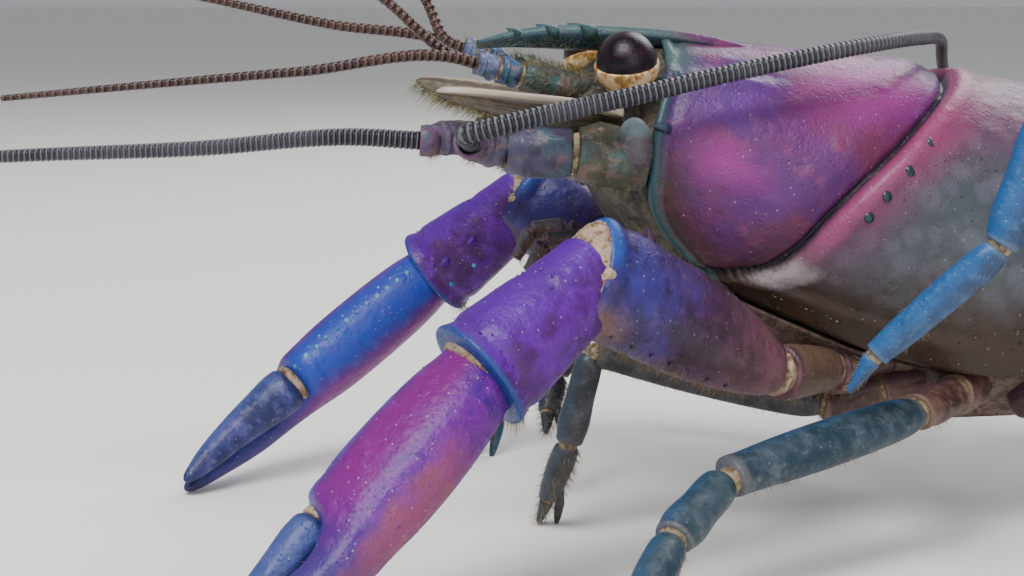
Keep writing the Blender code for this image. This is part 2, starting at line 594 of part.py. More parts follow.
def walking_leg(number, side, flip):
    root = leg_root(number, flip)
    ischium_end, knee, wrist, finger_joint, tip = (np.array(place) for place in LEG_POSE[number, side])
    size = LEG_SIZE[number]
    across = unit(np.cross(knee - ischium_end, wrist - knee))
    start = root - unit(ischium_end - root) * 1.4
    upper = limb((start, ischium_end, knee), across,
                 [(place, wide * size, deep * size) for place, wide, deep in
                  ((0.0, 1.7, 1.3), (0.35, 1.75, 1.45), (0.46, 1.3, 1.3), (0.85, 1.2, 1.4), (1.0, 1.1, 1.25),
                   (1.15, 1.1, 1.45), (1.5, 1.15, 1.6), (1.85, 1.1, 1.4), (2.0, 1.0, 1.25), (2.07, 0.7, 0.9))])
    upper = cut_end(upper, ischium_end, knee, wrist)
    finish = finish_for("shell_slate", SLATE)
    before = f"leg{number - 1}_{side}_upper" if number > 2 else f"cheliped_{side}_ischium"
    node(f"leg{number}_{side}_upper", [upper], finish, clear_of=("thorax_underside", "carapace", before))

    past = wrist + (finger_joint - wrist) * 1.0
    lower = limb((knee, wrist, past, tip), across,
                 [(place, wide * size, deep * size) for place, wide, deep in
                  ((-0.12, 0.6, 0.7), (0.05, 0.95, 1.1), (0.5, 1.05, 1.25), (0.9, 1.05, 1.2), (1.0, 0.85, 1.0),
                   (1.12, 0.95, 1.15), (1.6, 0.9, 1.1), (1.93, 0.75, 0.85), (2.0, 0.6, 0.7), (2.15, 0.6, 0.65),
                   (2.6, 0.42, 0.45), (3.03, 0.3, 0.3))])
    lower = cut_start(lower, ischium_end, knee, wrist)
    pieces = [lower]
    if number in PINCER_LEGS:
        heading = unit(tip - finger_joint)
        aside = np.cross(across, heading)
        end = tip + aside * 1.5 + np.array((0.0, 0.0, 0.15))
        start = finger_joint - heading * 1.8 + aside * 0.2
        middle = (start + end) / 2 + aside * 0.25
        pieces.append(limb((start, middle, end), across + aside * FINGER_TURN,
                           [(place, wide * size, deep * size) for place, wide, deep in
                            ((0.0, 0.6, 0.57), (1.0, 0.5, 0.45), (2.0, 0.3, 0.28))], sides=6))
    if tip[2] < 1.0:
        pieces = [cut_floor(piece) for piece in pieces]
    node(f"leg{number}_{side}_lower", pieces, finish)


def abdomen_planes():
    """Upper middle, downward and across sizes of the planes between the rings, from front to back."""
    place = np.array(body_point(0.0, 51.0 + GAP, 2.3))
    planes = []
    slopes = np.radians(RING_SLOPES)
    for number in range(len(slopes) + 1):
        before = slopes[max(number - 1, 0)]
        after = slopes[min(number, len(slopes) - 1)]
        lean = (before + after) / 2
        down = np.array((0.0, -math.sin(lean), -math.cos(lean)))
        planes.append((place.copy(), down, RING_HALF_WIDTHS[number], RING_HEIGHTS[number]))
        place = place + RING_LENGTH * np.array((0.0, math.cos(after), -math.sin(after)))
    return planes


def abdomen_half(plane, wide_share, drop_share):
    """Half ring in a plane: arched back, upright side, pointed side lobe and hollowed belly."""
    top, down, half, height = plane
    half, height = half * wide_share, height * drop_share
    shape = ((0.0, 0.0), (0.35, 0.05), (0.66, 0.19), (0.88, 0.42), (0.98, 0.68), (0.95, 0.92), (0.84, 1.0),
             (0.7, 0.86), (0.35, 0.76), (0.0, 0.74))
    return np.array([top + down * (height * z) + np.array((half * x, 0.0, 0.0)) for x, z in shape])


def abdomen():
    planes = abdomen_planes()
    for number in range(6):
        front, rear = planes[number], planes[number + 1]
        along = unit(rear[0] - front[0])
        halves = []
        for share, wide, drop in ((0.0, 0.95, 0.86), (0.22, 0.98, 0.98), (0.55, 1.0, 1.12), (0.8, 1.01, 1.04),
                                  (1.0, 1.0, 0.88)):
            near = abdomen_half(front, wide, drop)
            far = abdomen_half(rear, wide, drop)
            halves.append(near + (far - near) * share)
        halves[0] = halves[0] + along * GAP / 2
        halves[-1] = halves[-1] - along * GAP / 2
        solid = loft(mirrored(np.array(halves)))
        clear = ("carapace",) if number == 0 else ()
        paddles = swimmerets(front, rear, along) if number in SWIMMERET_RINGS else []
        node(f"abdomen_{number + 1}", [solid, *paddles], finish_for("shell_abdomen", PURPLE), clear_of=clear)


def swimmerets(front, rear, along):
    """A pair of flat paddles that hang from the belly of one ring and point backwards."""
    top, down, half, height = (near + (far - near) * 0.45 for near, far in zip(front, rear))
    paddles = []
    for sign in (1.0, -1.0):
        root = top + down * (height * 0.62) + np.array((sign * half * 0.52, 0.0, 0.0))
        elbow = root + down * 3.0 + along * 0.4
        tip = elbow + unit(down * 0.75 + along * 0.65) * SWIMMERET_LENGTH
        paddles.append(limb((root, elbow, tip), (1.0, 0.0, 0.0),
                            ((0.0, 0.8, 0.6), (1.0, 0.7, 0.5), (1.35, 1.05, 0.4), (1.8, 0.8, 0.32),
                             (2.0, 0.35, 0.27)),
                            sides=6))
    return paddles


def blade(root, heading, length, half_widths, drop, thickness=0.9):
    """Tail vane: a flat lens carried along a line that falls and then levels out on the floor."""
    root = np.asarray(root, float)
    across = np.array((math.cos(heading), math.sin(heading), 0.0))
    ahead = np.array((-math.sin(heading), math.cos(heading), 0.0))
    shares = np.linspace(0.0, 1.0, len(half_widths))
    rings = []
    for share, half in zip(shares, half_widths):
        fall = drop * (1 - (1 - share) ** 1.8)
        centre = root + ahead * (length * share) - np.array((0.0, 0.0, fall))
        thick = thickness * (1 - 0.45 * share) / 2
        shape = ((1.0, 0.0), (0.6, 0.85), (0.0, 1.15), (-0.6, 0.85), (-1.0, 0.0), (-0.6, -0.8), (0.0, -0.8),
                 (0.6, -0.8))
        rings.append([centre + across * (half * x) + np.array((0.0, 0.0, thick * z)) for x, z in shape])
    return loft(rings)


def tail_fan():
    top, down, half, height = abdomen_planes()[-1]
    back = np.cross(down, (1.0, 0.0, 0.0))
    back = back if back[1] > 0 else -back
    root = top + down * 3.2 + back * 0.5
    length = 13.5
    drop = root[2] - 0.15
    finish = finish_for("shell_fan", BLUE)
    telson = blade(root + back * 0.1, 0.0, length, (3.6, 3.9, 4.0, 3.9, 3.6, 2.6, 0.9), drop, 1.5)
    node("telson", [cut_floor(telson)], finish, clear_of=("abdomen_6",))
    for side, sign in (("left", 1.0), ("right", -1.0)):
        beside = "telson"
        for name, turn, sideways, below, sizes in (
                ("inner", 0.32, 4.5, 1.4, (1.3, 2.0, 2.7, 3.1, 3.1, 2.4, 0.9)),
                ("outer", 0.95, 6.4, 2.8, (1.3, 2.1, 2.9, 3.4, 3.4, 2.7, 1.0))):
            start = root + np.array((sign * sideways, -1.0, -below))
            vane = blade(start, -sign * turn, length + 0.5, sizes, start[2] - 0.2)
            node(f"uropod_{name}_{side}", [cut_floor(vane)], finish, clear_of=("abdomen_6", beside))
            beside = f"uropod_{name}_{side}"


def feeler(name, places, radii, finish, spacing=2.2):
    """Tapered whip along a smooth line through its places, as a curve with round section."""
    places = np.array(places, float)
    steps = np.concatenate(([0.0], np.cumsum(np.linalg.norm(np.diff(places, axis=0), axis=1))))
    count = int(steps[-1] / spacing) + 2
    along = np.concatenate((WHIP_START, np.linspace(WHIP_START[-1], steps[-1], count)[1:]))
    count = len(along)
    line = np.column_stack([table(along, np.column_stack((steps, places[:, axis]))) for axis in range(3)])
    data = bpy.data.curves.new(name, "CURVE")
    data.dimensions = "3D"
    data.bevel_depth = MM
    data.bevel_resolution = 1
    data.use_fill_caps = True
    spline = data.splines.new("POLY")
    spline.points.add(count - 1)
    for number, point in enumerate(spline.points):
        share = along[number] / steps[-1]
        point.co = (*(line[number] * MM), 1.0)
        point.radius = radii[0] + (radii[1] - radii[0]) * share
    curve = bpy.data.objects.new(name, data)
    bpy.data.collections["cherax_boesemani"].objects.link(curve)
    mesh = bpy.data.meshes.new_from_object(curve.evaluated_get(bpy.context.evaluated_depsgraph_get()))
    solid = bmesh.new()
    solid.from_mesh(mesh)
    bmesh.ops.remove_doubles(solid, verts=solid.verts, dist=1e-6)
    bmesh.ops.recalc_face_normals(solid, faces=solid.faces)
    bpy.data.objects.remove(curve)
    bpy.data.curves.remove(data)
    bpy.data.meshes.remove(mesh)
    return node(name, [solid], finish)


def feelers(side, flip):
    sign = flip[0]
    blue = finish_for("shell_blue", BLUE)
    rust = finish_for("whip_rust", RUST)
    cream = finish_for("shell_cream", CREAM)
    ends = {"left": (3.0, -0.5, 33.0), "right": (-2.8, -0.7, 33.9)}
    end = np.array(ends[side])
    joint = np.array((2.6 * sign, 2.7, 32.1 if side == "left" else 32.6))
    base = np.array((2.4 * sign, 7.6, 31.0))
    peduncle = limb((base, joint, end), (1.0, 0.0, 0.0),
                    ((0.0, 1.1, 1.0), (0.5, 1.2, 1.05), (0.95, 1.1, 0.95), (1.0, 0.95, 0.85), (1.1, 1.05, 0.9),
                     (2.0, 1.15, 0.7)))
    node(f"antennule_{side}", [peduncle], blue, clear_of=("head_front", "carapace"))
    whips = {
        ("left", "outer"): ((4.5, -12.3, 32.5), (6.0, -25.2, 31.5), (7.0, -31.3, 31.0)),
        ("left", "inner"): ((4.0, -6.6, 37.2), (5.0, -11.5, 40.7), (6.0, -16.0, 43.8)),
        ("right", "outer"): ((-4.0, -9.9, 35.5), (-5.0, -17.9, 37.2), (-7.0, -32.8, 40.3)),
        ("right", "inner"): ((-3.5, -3.2, 37.2), (-4.5, -6.3, 41.4), (-6.0, -9.7, 46.3)),
    }
    outward = unit(end - joint)
    for which, shift in (("outer", 0.58), ("inner", -0.58)):
        start = end + outward * GAP + np.array((shift * sign, 0.0, 0.0))
        following = start + outward * 0.8
        feeler(f"antennule_{side}_{which}_whip", (start, following, *whips[side, which]), (0.42, 0.26), rust)

    base = np.array((8.0 * sign, 10.5, 26.6))
    ends = {"left": (8.6, -1.4, 28.0), "right": (-5.2, -3.1, 27.1)}
    chain = (base, np.array((8.0 * sign, 5.6, 27.2)), np.array((7.1 * sign, 0.9, 27.3)), np.array(ends[side]))
    peduncle = limb(chain, (1.0, 0.0, 0.0),
                    ((0.0, 2.0, 2.1), (0.4, 2.1, 2.1), (0.9, 1.8, 1.8), (1.0, 1.5, 1.5), (1.15, 1.6, 1.6),
                     (1.7, 1.45, 1.45), (2.0, 1.15, 1.15), (2.4, 1.25, 1.25), (3.0, 1.0, 1.0)))
    node(f"antenna_{side}", [peduncle], blue, clear_of=("head_front", "carapace"))
    whips = {
        "left": ((10.0, -1.9, 28.6), (10.7, -0.7, 29.0), (10.8, 3.2, 29.9), (11.2, 8.4, 31.0),
                 (11.0, 14.8, 32.4), (10.4, 20.0, 33.4), (8.6, 25.8, 34.3), (4.2, 30.6, 34.6),
                 (-1.5, 34.2, 34.3), (-7.0, 36.6, 32.4), (-11.6, 39.2, 29.0),
                 (-14.2, 44.0, 26.0), (-14.6, 51.0, 24.5), (-13.4, 58.0, 24.0), (-11.5, 63.0, 24.2)),
        "right": ((-5.6, -8.0, 27.4), (-7.0, -19.3, 26.6), (-9.0, -33.7, 26.0), (-11.4, -50.0, 24.8),
                  (-13.0, -66.0, 23.0)),
    }
    tip = chain[-1]
    start = tip + unit(tip - chain[-2]) * GAP
    places = (start, start + unit(tip - chain[-2]) * 0.6, *whips[side])
    feeler(f"antenna_{side}_whip", places, (0.7, 0.25), blue)

    scale = limb((np.array((6.3 * sign, 9.0, 29.3)), np.array((7.0 * sign, 2.0, 30.2)),
                  np.array((7.6 * sign, -3.6, 31.3))),
                 (1.0, 0.0, 0.45 * sign),
                 ((0.0, 1.2, 0.45), (0.35, 2.0, 0.4), (1.0, 2.1, 0.35), (1.5, 1.5, 0.3), (2.0, 0.35, 0.25)))
    node(f"antennal_scale_{side}", [scale], cream, clear_of=("head_front", "carapace", f"antenna_{side}",
                                                            f"eyestalk_{side}"))


def maxilliped(side, flip):
    """Third mouth leg: a flat ischium under the mouth and a thin end bent down before it."""
    joints = [body_point(*place) * flip for place in ((3.7, 21.5, -17.6), (3.3, 13.0, -14.6), (3.5, 8.6, -12.2),
                                                      (3.3, 6.2, -12.6), (2.9, 5.2, -15.0))]
    leg = limb(joints, (1.0, 0.0, 0.0),
               ((0.0, 1.5, 1.0), (0.3, 1.7, 1.05), (0.92, 1.6, 1.0), (1.0, 1.25, 0.9), (1.15, 1.4, 1.0),
                (1.9, 1.1, 0.9), (2.0, 0.95, 0.8), (2.2, 0.95, 0.8), (3.0, 0.7, 0.65), (3.9, 0.35, 0.35)))
    node(f"maxilliped_{side}", [leg], finish_for("shell_mauve", MAUVE), clear_of=("thorax_underside", "head_front",
                                                                                 "carapace"))


def clear_scene():
    for old in list(bpy.data.objects):
        bpy.data.objects.remove(old)
    for name in ("cherax_boesemani", "joining_and_cutting"):
        made = bpy.data.collections.new(name)
        bpy.context.scene.collection.children.link(made)
    bpy.data.collections["joining_and_cutting"].hide_render = True


def stand_on_origin():
    """Moves every sub-part so that the origin lies under the middle of the whole, on the floor."""
    parts = bpy.data.collections["cherax_boesemani"].objects
    corners = np.array([tuple(vertex.co) for part in parts for vertex in part.data.vertices])
    low, high = corners.min(axis=0), corners.max(axis=0)
    move = Matrix.Translation((-(low[0] + high[0]) / 2, -(low[1] + high[1]) / 2, -low[2]))
    for part in parts:
        part.data.transform(move)


def main():
    clear_scene()
    carapace()
    thorax_underside()
    head_front()
    for side, sign in (("left", 1.0), ("right", -1.0)):
        flip = np.array((sign, 1.0, 1.0))
        eye(side, flip)
        feelers(side, flip)
        maxilliped(side, flip)
        claw_leg(side, flip)
        for number in (2, 3, 4, 5):
            walking_leg(number, side, flip)
    abdomen()
    tail_fan()
    stand_on_origin()


if __name__ == "__main__":
    main()
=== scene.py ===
"""Finished surfaces of a life-size still model of the freshwater crayfish Cherax boesemani.

Sizes are in millimetres until a mesh is made. The animal faces -Y, its left side is +X, up is +Z and the
floor is z = 0. SHIFT moves the animal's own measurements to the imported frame.
"""

import math

import bpy
import numpy as np
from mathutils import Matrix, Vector


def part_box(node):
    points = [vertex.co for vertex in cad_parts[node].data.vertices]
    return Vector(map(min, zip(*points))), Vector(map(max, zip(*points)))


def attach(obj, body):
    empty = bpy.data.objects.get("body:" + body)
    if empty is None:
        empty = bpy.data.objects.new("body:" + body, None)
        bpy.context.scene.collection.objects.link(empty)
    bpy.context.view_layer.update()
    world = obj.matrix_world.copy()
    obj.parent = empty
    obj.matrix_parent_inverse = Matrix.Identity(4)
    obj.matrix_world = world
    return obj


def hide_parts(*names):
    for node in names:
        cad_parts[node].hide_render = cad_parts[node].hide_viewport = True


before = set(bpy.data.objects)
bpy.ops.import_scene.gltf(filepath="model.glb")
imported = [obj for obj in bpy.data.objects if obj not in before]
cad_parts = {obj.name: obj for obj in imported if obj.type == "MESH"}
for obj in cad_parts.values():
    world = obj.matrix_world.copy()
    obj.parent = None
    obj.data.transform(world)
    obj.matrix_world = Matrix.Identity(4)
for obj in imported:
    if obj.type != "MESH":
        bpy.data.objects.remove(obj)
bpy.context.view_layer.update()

bl_info = {
    "name": "Crayfish model",
    "version": (1, 0, 0),
    "blender": (4, 5, 0),
    "location": "3D View > Sidebar > Crayfish",
    "description": "Builds the shell, limbs, feelers and setae of a life-size crayfish model",
    "category": "Add Mesh",
}

MM = 0.001
EYE_CORNER = np.array((4.6431, 7.2754, 31.1832))
SHIFT = np.array(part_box("cornea_left")[0]) / MM - EYE_CORNER

BODY_PITCH = math.radians(8.0)
BODY_HEIGHT = 34.0

# Carapace: back line, half width and lower edge by distance behind the rostrum's tip.
BACK_LINE = ((8.0, 2.3), (11.4, 2.65), (18.0, 2.9), (24.0, 3.1), (29.3, 3.3), (33.6, 3.1), (40.0, 2.9),
             (47.0, 2.8), (53.0, 2.4))
HALF_WIDTH = ((8.0, 8.4), (11.4, 9.3), (15.0, 10.2), (20.0, 11.0), (28.0, 11.7), (36.0, 12.0), (44.0, 11.5),
              (50.0, 10.4), (53.0, 9.9))
LOWER_EDGE = ((10.0, -12.8), (17.6, -13.7), (23.0, -15.2), (28.5, -16.7), (34.7, -17.5), (40.0, -17.3),
              (46.0, -16.2), (53.0, -12.8))
WIDEST = -7.0
EDGE_SHARE = 0.74
SHOULDER = 0.6
FRONT_MARGIN = ((0.0, 12.3), (0.3, 12.1), (0.5, 11.3), (0.6, 11.4), (0.75, 12.0), (0.88, 14.0), (1.0, 17.6))
GROOVE = ((0.0, 33.7), (0.2, 31.8), (0.4, 28.2), (0.6, 24.0), (0.8, 21.4), (0.88, 20.0), (0.93, 18.2),
    (0.965, 16.2), (1.0, 13.4))
REAR_MARGIN = ((0.0, 51.0), (0.3, 52.0), (0.6, 52.5), (0.8, 51.0), (1.0, 47.5))
ROSTRUM = ((0.2, 0.22, 0.25), (1.6, 0.75, 0.75), (4.0, 1.55, 1.35), (7.0, 2.2, 1.8), (10.0, 2.75, 2.1),
           (12.5, 3.2, 2.3), (15.5, 3.3, 2.3), (19.0, 2.9, 1.9), (22.0, 2.4, 1.2))
ROSTRUM_LENGTH = ROSTRUM[-1][0]
ROSTRUM_TEETH = (2.6, 4.9, 7.3)
# Inward lift and depth of the three rows that round off the carapace's front and rear rims.
RIM_STEPS = ((0.62, 0.75), (0.46, 0.2), (0.2, -0.05))
# Share from the back line to the lower edge, and distance behind the groove, of each dark spot.
SPOTS = ((0.41, 1.7), (0.49, 2.0), (0.56, 2.1), (0.62, 2.2))

FLANK_TOP = (7.0, -17.2)
FLANK_FOOT = (3.4, -20.7)
FLANK_LEAN = (FLANK_TOP[0] - FLANK_FOOT[0]) / (FLANK_TOP[1] - FLANK_FOOT[1])
ROOT_HEIGHT = {1: -18.6, 2: -19.0, 3: -19.0, 4: -19.0, 5: -18.8}
ROOT_PLACES = {1: 27.8, 2: 33.0, 3: 37.8, 4: 42.2, 5: 46.2}
STERNUM_FOOT = ((14.0, -16.0), (18.0, -17.4), (22.0, -19.2), (26.0, -20.7), (44.0, -20.7), (49.0, -19.4))

# Left eye: centre, radius and axis; its cup's axis and profile of (distance along it, radius); stalk's root.
EYE_CENTRE = (6.5, 9.3, 33.1)
EYE_RADIUS = 2.05
EYE_AXIS = (0.72, -0.18, 0.67)
EYE_CUP_AXIS = (0.31, -0.12, 0.94)
EYE_CUP = ((-1.9, 0.6), (-1.75, 1.2), (-1.45, 1.68), (-1.05, 1.98), (-0.7, 2.12), (-0.4, 2.19), (-0.2, 2.2),
    (-0.1, 2.16), (-0.08, 2.08), (-0.12, 1.98), (-0.3, 1.8))
STALK_ROOT = (3.1, 11.0, 30.7)

# Joint places: ischium's end, knee, wrist, finger joint, tip.
CLAW_POSE = {
    "left": ((11.5, 18.8, 12.7), (19.0, 4.8, 20.7), (22.0, -2.6, 15.3), (27.4, -11.1, 7.4), (32.0, -19.9, 0.22)),
    "right": ((-11.0, 19.5, 12.9), (-16.5, 6.0, 21.4), (-19.0, -1.2, 15.4), (-15.2, -12.9, 6.7),
              (-9.9, -21.4, 0.22)),
}
CLAW_ROLL = {"left": math.radians(8.0), "right": math.radians(35.0)}
CLAW_BREADTH = 7.0
CLAW_THICKNESS = {"left": 5.2, "right": 5.5}
LEG_POSE = {
    (2, "left"): ((5.0, 24.0, 8.8), (5.5, 7.3, 13.4), (5.3, 5.7, 6.8), (2.6, 4.7, 2.2), (1.4, 4.2, 0.0)),
    (2, "right"): ((-5.2, 24.0, 7.8), (-8.0, 8.8, 13.1), (-7.0, 6.8, 9.1), (-5.0, 5.9, 6.6), (-3.4, 5.5, 5.4)),
    (3, "left"): ((13.0, 28.0, 10.1), (20.5, 12.9, 8.1), (25.5, 8.4, 5.9), (33.5, 3.8, 2.7), (36.4, 2.2, 0.0)),
    (3, "right"): ((-12.5, 30.0, 10.0), (-20.0, 15.0, 17.0), (-20.5, 8.5, 12.0), (-20.0, 3.5, 3.2),
                   (-19.0, 2.0, 0.0)),
    (4, "left"): ((14.5, 43.5, 13.5), (19.0, 33.2, 30.3), (19.5, 30.5, 22.0), (17.0, 23.3, 14.7),
                  (16.5, 21.9, 12.3)),
    (4, "right"): ((-12.5, 40.0, 10.0), (-24.0, 42.0, 19.0), (-28.0, 45.0, 13.0), (-30.3, 47.4, 4.0),
                   (-31.0, 48.5, 0.0)),
    (5, "left"): ((11.5, 46.0, 9.0), (19.0, 54.0, 17.0), (22.0, 58.0, 12.0), (24.3, 61.8, 4.0),
                  (25.0, 63.3, 0.0)),
    (5, "right"): ((-11.0, 46.5, 9.0), (-19.5, 52.5, 17.5), (-23.5, 57.0, 12.5), (-26.3, 61.0, 4.0),
                   (-27.0, 62.6, 0.0)),
}
LEG_SIZE = {2: 0.78, 3: 1.0, 4: 0.98, 5: 0.92}

# Mouth leg along the pitched body. Feelers: ends of their bases, and the places that the whips pass.
MOUTH_LEG = ((3.7, 21.5, -17.6), (3.3, 13.0, -14.6), (3.5, 8.6, -12.2), (3.3, 6.2, -12.6), (2.9, 5.2, -15.0))
SHORT_FEELER_ENDS = {"left": (3.0, -0.5, 33.0), "right": (-2.8, -0.7, 33.9)}
SHORT_WHIPS = {
    ("left", "outer"): ((4.5, -12.3, 32.5), (6.0, -25.2, 31.5), (7.0, -31.3, 31.0)),
    ("left", "inner"): ((4.0, -6.6, 37.2), (5.0, -11.5, 40.7), (6.0, -16.0, 43.8)),
    ("right", "outer"): ((-4.0, -9.9, 35.5), (-5.0, -17.9, 37.2), (-7.0, -32.8, 40.3)),
    ("right", "inner"): ((-3.5, -3.2, 37.2), (-4.5, -6.3, 41.4), (-6.0, -9.7, 46.3)),
}
LONG_FEELER_ENDS = {"left": (8.6, -1.4, 28.0), "right": (-5.2, -3.1, 27.1)}
LONG_WHIPS = {
    "left": ((10.0, -1.9, 28.6), (10.7, -0.7, 29.0), (10.8, 3.2, 29.9), (11.2, 8.4, 31.0), (11.0, 14.8, 32.4),
             (10.4, 20.0, 33.4), (8.6, 25.8, 34.3), (4.2, 30.6, 34.6), (-1.5, 34.2, 34.3), (-7.0, 36.6, 32.4),
             (-11.6, 39.2, 29.0), (-14.2, 44.0, 26.0), (-14.6, 51.0, 24.5), (-13.4, 58.0, 24.0),
             (-11.5, 63.0, 24.2)),
    "right": ((-5.6, -8.0, 27.4), (-7.0, -19.3, 26.6), (-9.0, -33.7, 26.0), (-11.4, -50.0, 24.8),
              (-13.0, -66.0, 23.0)),
}

# Abdomen: the rings' length and downward slopes in degrees, and the sizes of the planes between them.
RING_LENGTH = 6.0
RING_SLOPES = (12.0, 17.0, 23.0, 30.0, 36.0, 38.0)
RING_HALF_WIDTHS = (9.0, 9.3, 9.2, 8.9, 8.5, 8.0, 7.2)
RING_HEIGHTS = (12.6, 13.2, 13.0, 12.3, 11.4, 10.2, 8.4)
SWIMMERET_LENGTH = 3.6
FAN_LENGTH = 13.5

# How far a tone is moved from its own grey, and how much of its light it keeps.
SATURATION = 1.3
DEPTH = 0.74
# Places of the factor and the two colours on a colour Mix node, and of its result.
MIX_INPUTS = (0, 6, 7)
MIX_RESULT = 2

# Camera fitted to the animal: focal length and frame width in pixels, place in mm. Stage sizes are in metres.
FOCAL_PIXELS = 1800.0
FRAME_PIXELS = 1024.0
SENSOR_MM = 36.0
CAMERA_TURN = math.radians(8.0)
CAMERA_FALL = math.radians(9.0)
CAMERA_DISTANCE = 128.0
CAMERA_BACK = 2.5
CAMERA_HEIGHT = 37.0
FLOOR_SIZE = 30.0
FLOOR_DROP = 0.00002
WORLD_TONE = (0.86, 0.89, 0.93, 1.0)
WORLD_STRENGTH = 0.42
# Name, place, size and power of each light.
LIGHTS = (("key", (0.22, -0.14, 0.42), 0.24, 2.8), ("fill", (0.40, 0.10, 0.16), 0.30, 0.55),
          ("back", (-0.25, 0.22, 0.30), 0.25, 1.1))
LIGHT_AIM = (0.0, 0.0, 0.015)

# Angles round a limb of its lower and upper side.
BELOW = 1.5 * math.pi
ABOVE = math.pi / 2
SIDES = (("left", np.array((1.0, 1.0, 1.0))), ("right", np.array((-1.0, 1.0, 1.0))))


def unit(vectors):
    """Vectors over their own lengths."""
    vectors = np.asarray(vectors, float)
    return vectors / np.maximum(np.linalg.norm(vectors, axis=-1, keepdims=True), 1e-12)


def table(place, rows, column=1):
    """Smooth value at a place between the rows of a table: a cubic with the slopes of its neighbours."""
    rows = np.array(rows, float)
    xs, ys = rows[:, 0], rows[:, column]
    slopes = np.gradient(ys, xs)
    place = np.clip(place, xs[0], xs[-1])
    k = np.clip(np.searchsorted(xs, place, side="right") - 1, 0, len(xs) - 2)
    step = xs[k + 1] - xs[k]
    t = (place - xs[k]) / step
    rise = ys[k + 1] - ys[k]
    return (ys[k] + t * step * slopes[k] + t * t * (3 * rise - step * (2 * slopes[k] + slopes[k + 1])) + t ** 3
        * (step * (slopes[k] + slopes[k + 1]) - 2 * rise))


def body_point(x, y, z):
    """Place in the room of a point given along the pitched body."""
    c, s = math.cos(BODY_PITCH), math.sin(BODY_PITCH)
    return np.stack(np.broadcast_arrays(x, y * c + z * s, BODY_HEIGHT - y * s + z * c), axis=-1).astype(float)


def body_direction(x, y, z):
    """Direction in the room of one given along the pitched body."""
    return body_point(x, y, z) - body_point(0.0, 0.0, 0.0)


def hill(distance, width):
    """Bell of height 1: e to the minus of the squared distance over the width."""
    return np.exp(-(distance / width) ** 2)


def rise(value, low, high):
    """0 below low, 1 above high, and a smooth step between."""
    t = np.clip((value - low) / (high - low), 0.0, 1.0)
    return t * t * (3 - 2 * t)


class Solid:
    """Points, four- and three-cornered faces, and a flow value for each point."""

    def __init__(self, points, quads, triangles, flow):
        self.points = points
        self.quads = quads
        self.triangles = triangles
        self.flow = flow

    def facing_out(self):
        corners = np.concatenate((self.quads[:, :3], self.quads[:, (0, 2, 3)], self.triangles))
        a, b, c = (self.points[corners[:, k]] for k in range(3))
        if np.einsum("ij,ij->i", a, np.cross(b, c)).sum() < 0:
            self.quads = self.quads[:, ::-1]
            self.triangles = self.triangles[:, ::-1]
        return self


def joined(solids):
    counts = np.cumsum([0] + [len(solid.points) for solid in solids])
    return Solid(np.concatenate([solid.points for solid in solids]), np.concatenate([solid.quads + start
        for solid, start in zip(solids, counts)]), np.concatenate([solid.triangles + start
        for solid, start in zip(solids, counts)]), np.concatenate([solid.flow for solid in solids]))


def tube(grid, flow):
    """Closed surface of a grid whose second parameter goes round; each end closes on the middle of its ring."""
    rows, columns = grid.shape[:2]
    index = np.arange(rows * columns).reshape(rows, columns)
    beside = np.roll(index, -1, axis=1)
    quads = np.stack((index[:-1], index[1:], beside[1:], beside[:-1]), axis=-1).reshape(-1, 4)
    first, last = rows * columns, rows * columns + 1
    near = np.stack((index[0], beside[0], np.full(columns, first)), axis=-1)
    far = np.stack((beside[-1], index[-1], np.full(columns, last)), axis=-1)
    points = np.concatenate((grid.reshape(-1, 3), [grid[0].mean(axis=0)], [grid[-1].mean(axis=0)]))
    flows = np.concatenate((flow.reshape(-1, 3), [flow[0].mean(axis=0)], [flow[-1].mean(axis=0)]))
    return Solid(points, quads, np.concatenate((near, far)), flows).facing_out()


def ball(centre, axis, radii, rows=28, columns=40):
    """Ellipsoid: circles of radius sin(a) at height cos(a) along an axis, scaled by its three radii."""
    axis = unit(axis)
    side = unit(np.cross(axis, (0.0, 1.0, 0.02)))
    third = np.cross(axis, side)
    a = np.linspace(0.02, np.pi - 0.02, rows)[:, None]
    b = np.linspace(0, 2 * np.pi, columns, endpoint=False)[None, :]
    along = np.cos(a) + 0 * b
    x, y = np.sin(a) * np.cos(b), np.sin(a) * np.sin(b)
    grid = (np.asarray(centre, float) + along[..., None] * axis * radii[0] + x[..., None] * side * radii[1]
        + y[..., None] * third * radii[2])
    return tube(grid, np.stack((along, x, y), axis=-1))


